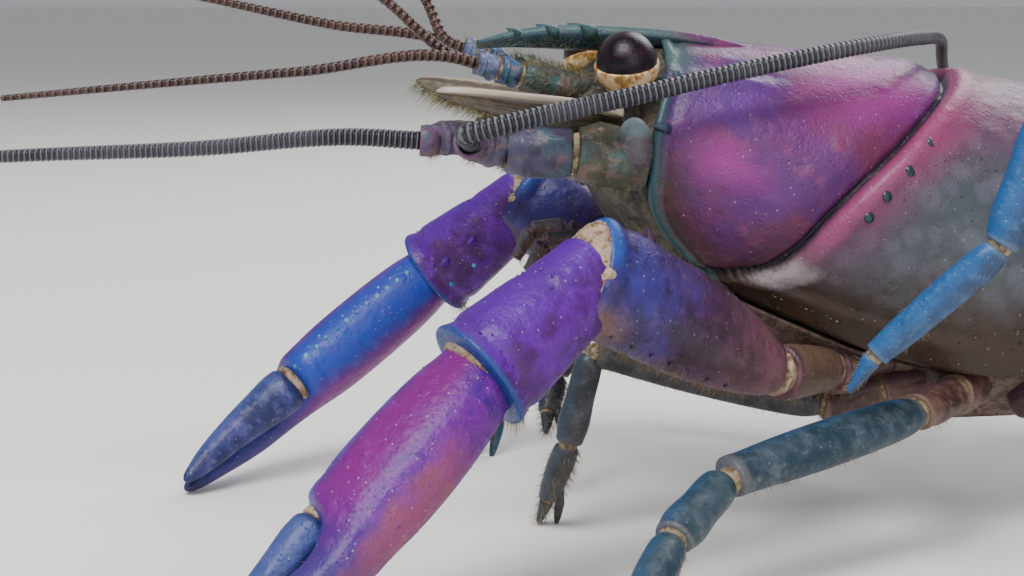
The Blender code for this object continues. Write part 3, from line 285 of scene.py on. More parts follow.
class Limb:
    """Rounded section carried along a chain of joints.

    The middle follows the chain with its corners rounded by a moving mean. A station is (place, half width,
    half depth, shift of the middle along the width), and the sizes between stations are smooth cubics. The
    section is a superellipse, narrowed by crest towards its upper side.
    """

    def __init__(self, joints, across, stations, power=2.0, crest=0.0, upward=(0.0, 0.0, 1.0), bend=0.08):
        self.joints = np.asarray(joints, float)
        self.across = np.asarray(across, float)
        self.stations = [tuple(station) + (0.0,) * (4 - len(station)) for station in stations]
        self.power, self.crest, self.bend = power, crest, bend
        self.sign = 1.0
        deep = self.frame(np.array([self.stations[0][0]]))[3]
        if np.dot(deep[0], upward) < 0:
            self.sign = -1.0

    def middle(self, place):
        total = 0.0
        steps = np.diff(self.joints, axis=0)
        for offset in np.linspace(-self.bend, self.bend, 9):
            p = place + offset
            k = np.clip(np.floor(p).astype(int), 0, len(steps) - 1)
            total = total + self.joints[k] + steps[k] * (p - k)[:, None]
        return total / 9

    def frame(self, place):
        place = np.asarray(place, float)
        middle = self.middle(place)
        tangent = unit(self.middle(place + 0.01) - self.middle(place - 0.01))
        wide = unit(self.across - (tangent @ self.across)[:, None] * tangent)
        return middle, tangent, wide, np.cross(wide, tangent) * self.sign

    def near(self, place, distance):
        """Place a distance in mm further on, measured along the straight part that it lies in."""
        lengths = np.linalg.norm(np.diff(self.joints, axis=0), axis=1)
        k = int(np.clip(math.floor(place + math.copysign(1e-6, distance)), 0, len(lengths) - 1))
        return place + distance / lengths[k]

    def section(self, place, angle):
        x = np.sign(np.cos(angle)) * np.abs(np.cos(angle)) ** (2 / self.power)
        y = np.sign(np.sin(angle)) * np.abs(np.sin(angle)) ** (2 / self.power)
        x = x * (1 - self.crest * y)
        return (table(place, self.stations, 3) + x * table(place, self.stations, 1)), y * table(place,
            self.stations, 2)

    def points(self, place, angle):
        """Points on the surface and the outward directions there."""
        place, angle = np.broadcast_arrays(np.asarray(place, float), np.asarray(angle, float))
        middle, _, wide, deep = self.frame(place)
        x, y = self.section(place, angle)
        outward = unit(np.cos(angle)[:, None] * wide + np.sin(angle)[:, None] * deep)
        return middle + x[:, None] * wide + y[:, None] * deep, outward

    def surface(self, start=None, end=None, steps=60, sides=32, round_start=0.8, round_end=0.8, relief=None,
            swell=1.0):
        """The tube between two places; its ends close as quarter circles, and relief lifts the surface."""
        start = self.stations[0][0] if start is None else start
        end = self.stations[-1][0] if end is None else end
        even = np.linspace(0.0, 1.0, steps)
        share = 0.4 * even + 0.6 * (0.5 - 0.5 * np.cos(np.pi * even))
        place = start + (end - start) * share
        middle, _, wide, deep = self.frame(place)
        travelled = np.concatenate(([0.0], np.cumsum(np.linalg.norm(np.diff(middle, axis=0), axis=1))))
        close = np.ones(steps)
        for distance, radius in ((travelled, round_start), (travelled[-1] - travelled, round_end)):
            if radius > 0:
                t = np.clip(distance / radius, 0.0, 1.0)
                close = close * np.sqrt(np.maximum(1 - (1 - t) ** 2, 0.0004))
        angle = np.linspace(0, 2 * np.pi, sides, endpoint=False)[None, :]
        x, y = self.section(place[:, None], angle)
        shift = table(place, self.stations, 3)[:, None]
        x = shift + (x - shift) * close[:, None] * swell
        y = y * close[:, None] * swell
        if relief is not None:
            lift = relief(share[:, None], angle) * close[:, None]
            x, y = x + lift * np.cos(angle), y + lift * np.sin(angle)
        grid = middle[:, None] + x[..., None] * wide[:, None] + y[..., None] * deep[:, None]
        flow = np.stack(np.broadcast_arrays(share[:, None], np.cos(angle), np.sin(angle)), axis=-1)
        return tube(grid, flow)


def spikes(bases, directions, heights, radii, bends=0.0, sides=7, rings=4, sunk=0.3, fullness=1.4,
        flow=(0.5, 0.0, 1.0)):
    """Many joined spikes in whole arrays.

    Along a spike, t runs from -sunk to 1. The middle is base + direction * height * t + bend * t * t, and the
    radius is the spike's own times 1 - t ** fullness above the base: 1 gives a cone, 3 a blunt knob.
    """
    bases, directions = np.atleast_2d(bases).astype(float), unit(np.atleast_2d(directions))
    count = len(bases)
    heights = np.broadcast_to(np.asarray(heights, float), count)
    radii = np.broadcast_to(np.asarray(radii, float), count)
    bends = np.broadcast_to(np.asarray(bends, float), (count, 3)) if np.ndim(bends) else np.zeros((count, 3))
    helper = np.where(np.abs(directions[:, 2:3]) < 0.9, np.array(((0.0, 0.0, 1.0),)), np.array(((1.0, 0.0, 0.0),)))
    side = unit(np.cross(directions, helper))
    third = np.cross(directions, side)
    t = np.concatenate(([-sunk], np.linspace(0.0, 0.94, rings)))
    size = np.where(t < 0, 1.0, 1 - np.clip(t, 0, 1) ** fullness)
    middle = (bases[:, None] + directions[:, None] * (heights[:, None] * t)[..., None] + bends[:, None]
        * (np.maximum(t, 0) ** 2)[None, :, None])
    angle = np.linspace(0, 2 * np.pi, sides, endpoint=False)
    round_trip = (np.cos(angle)[:, None] * side[:, None] + np.sin(angle)[:, None] * third[:, None])
    reach = (radii[:, None] * size)[:, :, None, None]
    grid = middle[:, :, None] + reach * round_trip[:, None]
    tip = bases + directions * heights[:, None] + bends
    each = (rings + 1) * sides + 2
    points = np.concatenate((grid.reshape(count, -1, 3), tip[:, None], middle[:, :1]), axis=1).reshape(-1, 3)
    index = np.arange((rings + 1) * sides).reshape(rings + 1, sides)
    beside = np.roll(index, -1, axis=1)
    quads = np.stack((index[:-1], beside[:-1], beside[1:], index[1:]), axis=-1).reshape(-1, 4)
    top, bottom = each - 2, each - 1
    triangles = np.concatenate((np.stack((index[-1], beside[-1], np.full(sides, top)), axis=-1),
        np.stack((beside[0], index[0], np.full(sides, bottom)), axis=-1)))
    starts = (np.arange(count) * each)[:, None, None]
    flows = np.tile(np.asarray(flow, float), (len(points), 1))
    return Solid(points, (quads + starts).reshape(-1, 4), (triangles + starts).reshape(-1, 3), flows).facing_out()


def make_piece(name, solids, finish, replaces=(), places=None):
    """Puts a piece into the scene; places gives each point of a fringe its patch on the OFBake map."""
    solid = joined(solids)
    mesh = bpy.data.meshes.new(name)
    faces = solid.quads.tolist() + solid.triangles.tolist()
    points = (solid.points + SHIFT) * MM
    points[:, 2] = np.maximum(points[:, 2], 0.0)
    mesh.from_pydata(points.tolist(), [], faces)
    attribute = mesh.attributes.new("flow", "FLOAT_VECTOR", "POINT")
    attribute.data.foreach_set("vector", solid.flow.astype(np.float32).ravel())
    mesh.shade_smooth()
    if places is not None:
        layer = mesh.uv_layers.new(name="OFBake")
        corner = np.empty(len(mesh.loops), np.int32)
        mesh.loops.foreach_get("vertex_index", corner)
        layer.uv.foreach_set("vector", places[corner].astype(np.float32).ravel())
    mesh.materials.append(finish)
    made = bpy.data.objects.new(name, mesh)
    bpy.context.scene.collection.objects.link(made)
    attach(made, "root")
    if replaces:
        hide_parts(*replaces)
    return made


class Wire:
    """A socket on which sums are written as plain expressions; each adds its Math node."""

    def __init__(self, tree, socket):
        self.tree = tree
        self.socket = socket

    def math(self, operation, *values):
        made = self.tree.nodes.new("ShaderNodeMath")
        made.operation = operation
        for place, value in enumerate(values):
            if isinstance(value, Wire):
                self.tree.links.new(value.socket, made.inputs[place])
            else:
                made.inputs[place].default_value = value
        return Wire(self.tree, made.outputs[0])

    def __add__(self, other):
        return self.math("ADD", self, other)

    def __radd__(self, other):
        return self.math("ADD", other, self)

    def __sub__(self, other):
        return self.math("SUBTRACT", self, other)

    def __rsub__(self, other):
        return self.math("SUBTRACT", other, self)

    def __mul__(self, other):
        return self.math("MULTIPLY", self, other)

    def __rmul__(self, other):
        return self.math("MULTIPLY", other, self)

    def size(self):
        return self.math("ABSOLUTE", self)

    def sine(self):
        return self.math("SINE", self)


def deepened(tone):
    """A colour moved away from its own grey and darkened, as wet shell shows it."""
    grey = sum(tone) / 3
    return tuple(max(0.0, (grey + (part - grey) * SATURATION) * DEPTH) for part in tone)


class Finish:
    """A Principled material whose patterns read Object coordinates and the piece's own flow values."""

    def __init__(self, name, roughness=0.38, coat=0.08, specular=0.32):
        self.material = bpy.data.materials.new(name)
        self.material.use_nodes = True
        self.tree = self.material.node_tree
        self.shader = self.tree.nodes["Principled BSDF"]
        self.shader.inputs["Roughness"].default_value = roughness
        self.shader.inputs["Coat Weight"].default_value = coat
        self.shader.inputs["Coat Roughness"].default_value = 0.12
        self.shader.inputs["Specular IOR Level"].default_value = specular
        scale = self.node("ShaderNodeVectorMath", {"operation": "SCALE"},
            {"Vector": self.node("ShaderNodeTexCoord", {}, {}).outputs["Object"], "Scale": 1 / MM})
        self.place = scale.outputs[0]
        flow = self.node("ShaderNodeAttribute", {"attribute_name": "flow"}, {})
        parts = self.node("ShaderNodeSeparateXYZ", {}, {"Vector": flow.outputs["Vector"]})
        self.flow = [Wire(self.tree, parts.outputs[k]) for k in range(3)]

    def node(self, kind, settings, inputs):
        made = self.tree.nodes.new(kind)
        for key, value in settings.items():
            setattr(made, key, value)
        for key, value in inputs.items():
            socket = value.socket if isinstance(value, Wire) else value
            if isinstance(socket, bpy.types.NodeSocket):
                self.tree.links.new(socket, made.inputs[key])
            else:
                made.inputs[key].default_value = socket
        return made

    def noise(self, per_mm, detail=3.0, rough=0.55, distortion=0.0):
        made = self.node("ShaderNodeTexNoise", {}, {"Vector": self.place, "Scale": per_mm, "Detail": detail,
            "Roughness": rough, "Distortion": distortion})
        return Wire(self.tree, made.outputs["Fac"])

    def cells(self, per_mm, randomness=1.0):
        made = self.node("ShaderNodeTexVoronoi", {"feature": "F1"}, {"Vector": self.place, "Scale": per_mm,
            "Randomness": randomness})
        return Wire(self.tree, made.outputs["Distance"])

    def mottling(self):
        """Clouds, blots and fine grain of a limb's shell."""
        return self.noise(0.3, 4.0), self.noise(0.9, 5.0), self.noise(3.0, 4.0)

    def step(self, value, low, high):
        """Smooth step from 0 at low to 1 at high, or down where low is the greater."""
        inputs = {"Value": value, "From Min": min(low, high), "From Max": max(low, high)}
        if low > high:
            inputs.update({"To Min": 1.0, "To Max": 0.0})
        made = self.node("ShaderNodeMapRange", {"interpolation_type": "SMOOTHSTEP"}, inputs)
        return Wire(self.tree, made.outputs[0])

    def around(self, value, centre, width):
        """1 where a value is at the centre, falling softly to 0 at a width from it."""
        return self.step((value - centre).size(), width, 0.0)

    def mix(self, factor, first, second):
        made = self.tree.nodes.new("ShaderNodeMix")
        made.data_type = "RGBA"
        for key, value in zip(MIX_INPUTS, (factor, first, second)):
            if isinstance(value, Wire):
                self.tree.links.new(value.socket, made.inputs[key])
            else:
                made.inputs[key].default_value = (*deepened(value), 1.0) if isinstance(value, tuple) else value
        return Wire(self.tree, made.outputs[MIX_RESULT])

    def colour(self, value):
        if isinstance(value, Wire):
            self.tree.links.new(value.socket, self.shader.inputs["Base Color"])
        else:
            self.shader.inputs["Base Color"].default_value = (*value, 1.0)

    def link(self, name, value):
        self.tree.links.new(value.socket, self.shader.inputs[name])

    def bump(self, height, depth_mm):
        made = self.node("ShaderNodeBump", {}, {"Height": height, "Distance": depth_mm * MM, "Strength": 1.0})
        self.tree.links.new(made.outputs[0], self.shader.inputs["Normal"])


def shell_bump(finish, granule=0.6, pores=2.6):
    """Fine granules and pits of hard shell, laid over soft waves."""
    grains = finish.step(finish.cells(granule), 0.45, 0.1)
    pits = finish.step(finish.cells(pores), 0.35, 0.05)
    waves = finish.noise(0.5, 4.0)
    finish.bump(grains * 0.4 - pits * 0.2 + waves * 0.6 + finish.noise(4.0, 3.0) * 0.3, 0.13)
    finish.link("Roughness", 0.33 + finish.noise(1.6, 4.0) * 0.24)


def dots(finish, base, colour, per_mm, size, share=1.0):
    """Round dots of a colour at the cells' centres."""
    return finish.mix(finish.step(finish.cells(per_mm), size, size * 0.45) * share, base, colour)


def carapace_finish(tones):
    """Pink and violet head shell, dark groove with a rosy band behind it, and marbled gill covers; painted shade
    darkens the shell's lower part to plum and brown.

    flow is (distance behind the groove in mm, share from the back line to the lower edge, distance behind the
    front margin in mm).
    """
    finish = Finish("carapace_shell")
    behind, down, ahead = finish.flow
    clouds, blots, fine = finish.noise(0.14, 2.0), finish.noise(0.45, 4.0, 0.6), finish.noise(2.2, 4.0)
    uneven = (clouds - 0.5) * 3.0 + (blots - 0.5) * 1.6
    soft = (clouds - 0.5) * 0.25 + (blots - 0.5) * 0.15

    front = finish.mix(finish.step(clouds + (blots - 0.5) * 0.4, 0.3, 0.7), tones.purple, tones.wine)
    hot = finish.around(behind + uneven, -4.5, 7.0) * finish.around(down + soft, 0.26, 0.24)
    front = finish.mix(hot, front, tones.pink)
    haze = finish.around(ahead + uneven, 4.6, 4.2) * finish.around(down + soft, 0.34, 0.16)
    front = finish.mix(haze * 0.85, front, tones.lilac)
    stripe = finish.around(down + soft - ahead * 0.012, 0.47, 0.11) * finish.around(ahead, 5.0, 5.0)
    front = finish.mix(stripe * 0.85, front, tones.pink)
    dusk = finish.around(down + soft, 0.62, 0.12) * finish.around(ahead, 7.5, 5.0)
    front = finish.mix(dusk * 0.8, front, tones.purple)
    # Painted shade: the lower part of the front shell is darkened to plum.
    front = finish.mix(finish.step(down + soft, 0.66, 0.9) * 0.8, front, tones.plum)
    low = finish.step(ahead + uneven * 0.5, 4.2, 1.0) * finish.step(down + soft, 0.4, 0.6)
    front = finish.mix(low * 0.85, front, tones.brown)
    front = finish.mix(finish.step(blots + (fine - 0.5) * 0.4, 0.5, 0.75) * 0.35, front, tones.rose)
    front = finish.mix(finish.step(ahead, 3.2, 0.6) * finish.step(down, 0.36, 0.22) * 0.85, front, tones.teal)

    marbling = finish.step(finish.cells(0.55) + (blots - 0.5) * 0.9, 0.62, 0.3)
    upper = finish.mix(marbling, tones.mauve, tones.rosy)
    middle = finish.mix(marbling * 0.6, tones.grey_teal, tones.grey_blue)
    rear = finish.mix(finish.step(down + soft, 0.28, 0.55), upper, middle)
    # Painted shade: the lower part of the gill covers, which turns in under the body, is darkened to brown.
    rear = finish.mix(finish.step(down + soft, 0.68, 0.9), rear, tones.brown)
    near_groove = finish.step(behind + uneven * 0.8, 7.0, 0.5)
    rear = finish.mix(near_groove * finish.step(down + soft, 0.92, 0.6) * 0.75, rear, tones.wine)
    rear = finish.mix(finish.step(behind + uneven, 5.0, 1.0) * finish.around(down + soft, 0.4, 0.3) * 0.9, rear,
        tones.rose)

    band = finish.step(behind, 0.1, 0.5) * finish.step(behind + uneven * 0.3, 2.4, 1.1)
    base = finish.mix(finish.step(behind, -0.2, 0.4), front, rear)
    base = finish.mix(band * finish.step(down, 0.9, 0.65) * 0.7, base, tones.rose)
    lobe = (finish.step((behind - 1.5).size() + (fine - 0.5) * 1.2, 1.7,
        0.5) * finish.step((down - 0.87).size() + (blots - 0.5) * 0.12, 0.1, 0.02))
    base = finish.mix(lobe * 0.8, base, tones.marble)
    line = finish.step(behind.size(), 0.5, 0.1)
    base = finish.mix(line * 0.92, base, tones.dark)
    base = dots(finish, base, tones.white, 1.3, 0.11, 0.45)
    base = dots(finish, base, tones.dark, 1.9, 0.2, 0.3)
    base = finish.mix(finish.step(ahead + (fine - 0.5) * 0.5, 1.1, 0.3) * finish.step(down, 0.25, 0.4) * 0.92, base,
        tones.margin)
    finish.colour(base)
    shell_bump(finish)
    return finish.material


def limb_finish(name, deep, mid, light, edge, ends, tones, end_reach=0.1, dot_size=0.14, dotted=0.7):
    """Shell of one limb segment: two tones with clouds, a tinted upper edge, tinted ends and pale dots.

    flow is (share along the segment, sideways -1 to 1, upwards -1 to 1).
    """
    finish = Finish(name)
    along, _, up = finish.flow
    clouds, blots, fine = finish.mottling()
    base = finish.mix(finish.step(clouds + (blots - 0.5) * 0.7, 0.34, 0.64), deep, mid)
    base = finish.mix(finish.step(blots * 0.6 + fine * 0.4, 0.5, 0.66) * 0.5, base, light)
    base = finish.mix(finish.step(up + (blots - 0.5) * 1.2, 0.1, 0.9) * 0.75, base, edge)
    reach = (along - 0.5).size() + (fine - 0.5) * 0.04
    base = finish.mix(finish.step(reach, 0.5 - end_reach, 0.5 - end_reach * 0.4) * 0.85, base, ends)
    base = dots(finish, base, tones.white, 1.6, dot_size, dotted * 0.8)
    base = dots(finish, base, tones.dark, 1.7, 0.16, 0.3)
    finish.colour(base)
    shell_bump(finish, 0.9, 3.0)
    return finish.material


def skin_finish(name, pale, shade, wrinkle=1.6):
    """Soft skin of a joint: pale, with painted shade in brown where its folds sink."""
    finish = Finish(name, 0.45, 0.1)
    folds = finish.noise(wrinkle, 5.0, 0.65, 0.8)
    # Painted shade: the darker tone lies in the low places of the same folds that the bump raises.
    finish.colour(finish.mix(finish.step(folds, 0.40, 0.56), shade, pale))
    finish.bump(folds, 0.22)
    return finish.material


def whip_finish(name, dark, pale, period):
    """Ringed feeler: dark rings with pale joints at the period of its bumps; flow's first value is in mm."""
    finish = Finish(name, 0.38, 0.15)
    along = finish.flow[0]
    wave = (along * (2 * math.pi / period)).sine()
    base = finish.mix(finish.step(wave + (finish.noise(1.2) - 0.5) * 0.8, 0.0, 0.75), dark, pale)
    base = finish.mix(finish.step(finish.noise(0.12), 0.45, 0.6) * 0.35, base, pale)
    finish.colour(base)
    finish.bump(wave, 0.05)
    return finish.material


def cornea_finish():
    """Dark purple-brown glassy cornea with fine facets; flow's first value is 1 at the tip of its axis."""
    finish = Finish("cornea", 0.12, 0.12, 0.2)
    facets = finish.cells(11.0, 0.12)
    along = finish.flow[0]
    cloud = finish.step(finish.noise(0.9, 3.0), 0.35, 0.65)
    base = finish.mix(cloud, (0.006, 0.004, 0.009), (0.022, 0.010, 0.016))
    base = finish.mix(finish.step(along, 0.1, -0.5) * 0.6, base, (0.05, 0.025, 0.02))
    finish.colour(base)
    finish.bump(facets, 0.02)
    return finish.material


def eyestalk_finish(tones):
    """Cream-yellow stalk, mottled with amber and dark at its root; flow's first value runs from root to rim."""
    finish = Finish("eyestalk")
    along = finish.flow[0]
    mottle, fine = finish.noise(1.0, 5.0), finish.noise(3.5, 4.0)
    base = finish.mix(finish.step(mottle + (fine - 0.5) * 0.4, 0.42, 0.6), tones.stalk, tones.amber)
    base = finish.mix(finish.step(fine * 0.5 + mottle * 0.5, 0.52, 0.62) * 0.5, base, tones.rust)
    base = finish.mix(finish.step(along, 0.9, 0.99) * 0.7, base, (0.12, 0.07, 0.05))
    base = finish.mix(finish.step(along, 0.4, 0.1) * 0.75, base, tones.grey_teal)
    finish.colour(base)
    finish.bump(mottle + fine * 0.4, 0.12)
    return finish.material


def seta_finish(name, root, tip):
    finish = Finish(name, 0.5, 0.0)
    finish.colour(finish.mix(finish.step(finish.noise(0.8), 0.35, 0.65), root, tip))
    return finish.material


def carapace_section(y, t):
    """Left side of the carapace at a place y and a share t from its back line to its lower edge."""
    back, half, edge = table(y, BACK_LINE), table(y, HALF_WIDTH), table(y, LOWER_EDGE)
    turn = np.clip(t / SHOULDER, 0, 1) * np.pi / 2
    fall = np.clip((t - SHOULDER) / (1 - SHOULDER), 0, 1)
    x = half * np.where(t < SHOULDER, np.sin(turn), 1 - (1 - EDGE_SHARE) * fall ** 2)
    z = np.where(t < SHOULDER, WIDEST + (back - WIDEST) * np.cos(turn), WIDEST + (edge - WIDEST) * fall)
    return x, z


def carapace_place(y, t, flip=1.0):
    """Point of the carapace in the room; flip -1 gives the right side."""
    x, z = carapace_section(y, t)
    return body_point(x * flip, y, z)


def carapace_normal(y, t, flip=1.0):
    """Outward direction: the cross product of a short step back and a short step down."""
    here = carapace_place(y, t)
    along, below = carapace_place(y + 0.02, t) - here, carapace_place(y, t + 0.005) - here
    return unit(np.cross(along, below)) * np.array((flip, 1.0, 1.0))


def carapace_relief(y, t, settings):
    """Lift of the carapace's surface: groove, swollen band, rims, ridges behind the eyes, gill-cover lines."""
    behind = y - table(t, GROOVE)
    ahead = y - table(t, FRONT_MARGIN)
    before_rear = table(t, REAR_MARGIN) - y
    depth = settings.groove_depth / MM
    lift = -depth * hill(behind, 0.3) * rise(1.04 - t, 0.0, 0.12)
    lift = lift - np.where(behind < 0, 0.55 * hill(behind, 1.5), 0.55 * hill(behind, 0.6)) * rise(1.04 - t, 0.0,
        0.12)
    lift = lift + 0.2 * hill(behind - 1.5, 0.9) + 0.14 * hill(behind + 3.2, 1.6)
    lift = lift + 0.16 * hill(ahead - 0.35, 0.3) - 0.14 * hill(ahead - 1.0, 0.35)
    lift = lift + 0.14 * hill(before_rear - 0.5, 0.4) - 0.16 * hill(before_rear - 1.4, 0.4)
    ridge = rise(20.5 - y, 0.0, 3.0)
    lift = lift + 0.42 * ridge * hill(t - 0.3, 0.026) - 0.16 * ridge * hill(t - 0.24, 0.03)
    lower = rise(behind, 0.5, 3.0) * rise(before_rear, 0.5, 4.0)
    lift = lift + 0.1 * lower * hill(t - 0.93, 0.02) - 0.12 * lower * hill(t - 0.895, 0.02)
    gills = rise(behind, 2.0, 7.0)
    lift = lift - 0.18 * gills * hill(t - 0.14, 0.02)
    hepatic = hill(y - 19.5, 2.2) * hill(t - 0.66, 0.1)
    return lift + 0.22 * hepatic - 0.12 * hill(y - 16.0, 1.6) * hill(t - 0.52, 0.05)


def carapace_surface(settings):
    """Closed shell of the carapace: rows from its front margin to its rear margin, columns round the body."""
    across = np.linspace(-1.0, 1.0, 181)
    rows = np.linspace(0.0, 1.0, 190)
    t = np.abs(across)[None, :]
    front, rear = table(t, FRONT_MARGIN), table(t, REAR_MARGIN)
    y = front + (rear - front) * rows[:, None]
    t = np.broadcast_to(t, y.shape)
    sign = np.sign(across)[None, :]
    points = carapace_place(y, t, sign)
    normals = unit(np.cross(np.gradient(points, axis=1), np.gradient(points, axis=0)))
    normals = normals * np.where(normals[..., 2:3].mean() < 0, -1.0, 1.0)
    points = points + normals * carapace_relief(y, t, settings)[..., None]
    inward = -normals
    flow = np.stack((y - table(t, GROOVE), t, y - front), axis=-1)
    edge = np.linspace(1.0, -1.0, 13)[1:-1]
    right, left = points[:, 0], points[:, -1]
    under_rise = body_direction(0.0, 0.0, 0.55)
    under = (left[:, None] * (1 + edge[:, None]) + right[:, None] * (1 - edge[:, None])) / 2
    under = under + under_rise * (1 - np.abs(edge[:, None]) ** 6)
    under_flow = np.broadcast_to(flow[:, -1:], under.shape)
    inward = np.concatenate((inward, np.broadcast_to(body_direction(0.0, 0.0, 1.0), under.shape)), axis=1)
    points = np.concatenate((points, under), axis=1)
    flow = np.concatenate((flow, under_flow), axis=1)
    ahead, backward = body_direction(0.0, 1.0, 0.0), body_direction(0.0, -1.0, 0.0)
    front_rim = [points[0] + inward[0] * lift + ahead * depth for lift, depth in RIM_STEPS]
    rear_rim = [points[-1] + inward[-1] * lift + backward * depth for lift, depth in RIM_STEPS[::-1]]
    points = np.concatenate((front_rim, points, rear_rim))
    flow = np.concatenate((np.repeat(flow[:1], 3, axis=0), flow, np.repeat(flow[-1:], 3, axis=0)))
    return tube(points, flow)


def rostrum_surface():
    """Lance over the eyes: a hollowed section with raised margins, carried from its tip onto the carapace."""
    y = np.concatenate((np.linspace(0.0, 2.0, 14)[:-1], np.linspace(2.0, ROSTRUM_LENGTH, 70)))
    corners = np.array(((0.0, 0.16), (0.3, 0.14), (0.58, 0.15), (0.8, 0.3), (0.93, 0.28), (1.0, 0.06), (0.86, -0.2),
        (0.55, -0.42), (0.0, -0.52)))
    turn = np.linspace(0.0, 1.0, len(corners))
    fine = np.linspace(0.0, 1.0, 26)
    x = table(fine, np.column_stack((turn, corners[:, 0])))
    z = table(fine, np.column_stack((turn, corners[:, 1])))
    x = np.concatenate((x, -x[-2:0:-1]))[None, :]
    z = np.concatenate((z, z[-2:0:-1]))[None, :]
    half = (table(y, ROSTRUM) * np.sqrt(rise(y, -0.35, 0.5)))[:, None]
    height = table(y, ROSTRUM, 2)[:, None]
    thick = 2.1 * np.minimum(1.0, 0.3 + half / 3)
    grid = body_point(half * x, y[:, None], height + thick * z)
    ahead = np.where(z < 0.1, 0.0, 0.6 + np.maximum(y[:, None] - 12.0, 0.0) * 0.8)
    # Painted shade: the underside's flow values (no distance behind the front margin, lower share) give it the
    # carapace's dark margin tone instead of the top's teal.
    flow = np.stack(np.broadcast_arrays(y[:, None] * 0 - 20.0, 0.12 + 0.3 * (z < 0.1), ahead), axis=-1)
    return tube(grid, flow)


def head_front_surface():
    """Face between the front margins: rings that shrink forwards, with a hollow for each eye."""
    shares = np.linspace(0.1, 1.0, 60)
    forward = np.linspace(-0.6, 6.2, 40)[:, None]
    t = shares[None, :]
    y = np.minimum(table(t, FRONT_MARGIN), 14.5)
    x, z = carapace_section(y, t)
    scale = 0.93 - 0.07 * rise(forward, -0.6, 1.5) - 0.58 * rise(forward, 1.0, 7.6)
    lift = 0.7 * rise(forward, 0.0, 5.0)
    socket = hill(t - 0.42, 0.14) * hill(forward - 1.2, 2.2)
    x = x * (scale - 0.13 * socket)
    z = WIDEST + 1.5 + (z - WIDEST - 1.5) * scale + lift - 0.5 * socket
    left = body_point(x, y - forward, z)
    right = left[:, ::-1] * np.array((-1.0, 1.0, 1.0))
    grid = np.concatenate((left, right), axis=1)
    flow = np.stack(np.broadcast_arrays(forward / 6, t, t * 0), axis=-1)
    return tube(grid, np.concatenate((flow, flow[:, ::-1]), axis=1))


def thorax_surface():
    """Keel between the legs, with a cross swelling at each pair of coxae."""
    y = np.linspace(17.6, 47.4, 70)[:, None]
    top = table(y, LOWER_EDGE) - 0.35
    foot = table(y, STERNUM_FOOT)
    down = np.linspace(0.0, 1.0, 16)[None, :]
    z = top + (foot - top) * down
    x = FLANK_FOOT[0] + (z - FLANK_FOOT[1]) * FLANK_LEAN
    ribs = sum(hill(y - place, 1.1) for place in ROOT_PLACES.values())
    x = x + 0.25 * ribs * hill(down - 0.5, 0.4)
    keel = np.linspace(1.0, 0.0, 8)[None, 1:]
    belly_x = FLANK_FOOT[0] * keel + 0 * y
    belly_z = foot - 0.35 * (1 - keel) - 0.25 * ribs * (1 - keel)
    half_x, half_z = np.concatenate((x, belly_x), axis=1), np.concatenate((z, belly_z), axis=1)
    left = body_point(half_x, y + 0 * half_x, half_z)
    right = left[:, -2::-1] * np.array((-1.0, 1.0, 1.0))
    grid = np.concatenate((left, right), axis=1)
    flow = np.zeros(grid.shape)
    flow[..., 0] = np.linspace(0, 1, len(y))[:, None]
    return tube(grid, flow)


def leg_root(number, flip):
    """Where a leg leaves the flank: on its sloping line, at the leg's own height."""
    height = ROOT_HEIGHT[number]
    return body_point(FLANK_FOOT[0] + (height - FLANK_FOOT[1]) * FLANK_LEAN, ROOT_PLACES[number], height) * flip


def rims(share, angle):
    """Relief of a hard segment: a flared far rim and a narrower near neck."""
    return 0.09 * hill(share - 0.975, 0.035) - 0.16 * hill(share, 0.055) + 0 * angle


def segments(limb, places, gap=0.06, sides=32, relief=rims):
    """Hard segments between the neighbouring places of a limb."""
    return [limb.surface(limb.near(start, gap), limb.near(end, -gap), 60, sides, 0.22, 0.12, relief)
        for start, end in zip(places, places[1:])]


def numbered(parts):
    """Tells a feeler base's segments apart: each adds 2 more to its flow's first value."""
    for number, part in enumerate(parts):
        part.flow[:, 0] += 2.0 * number
    return parts


def joint_skin(limb, place, size=0.85, reach=0.5):
    """Soft skin in a joint: a short stretch of the limb's own tube, a little narrower."""
    return limb.surface(limb.near(place, -reach), limb.near(place, reach), 14, 28, 0.4, 0.4, None, size)


def turned(centre, axis, profile, columns=48):
    """Surface of revolution: rows of (distance along the axis, radius)."""
    axis = unit(axis)
    side = unit(np.cross(axis, (0.0, 1.0, 0.02)))
    third = np.cross(axis, side)
    rows = np.array(profile, float)
    angle = np.linspace(0, 2 * np.pi, columns, endpoint=False)
    ring = np.cos(angle)[:, None] * side + np.sin(angle)[:, None] * third
    grid = np.asarray(centre, float) + rows[:, None, :1] * axis + rows[:, None, 1:2] * ring[None]
    share = np.linspace(0.0, 1.0, len(rows))[:, None]
    return tube(grid, np.stack(np.broadcast_arrays(share, np.cos(angle), np.sin(angle)), axis=-1))


def level(first, second):
    """Level direction across the line between two places."""
    return unit(np.cross(second - first, (0.0, 0.0, 1.0)))


def claw_frame(side, wrist, finger_joint):
    """Length, breadth (towards the midline) and thickness directions of a claw."""
    along = unit(finger_joint - wrist)
    inward = unit(np.cross(along, (0.0, 0.0, 1.0)) * (1 if side == "left" else -1))
    up = unit(np.array((0.0, 0.0, 1.0)) - along[2] * along)
    roll = CLAW_ROLL[side]
    return along, inward * math.cos(roll) + up * math.sin(roll), up * math.cos(roll) - inward * math.sin(roll)


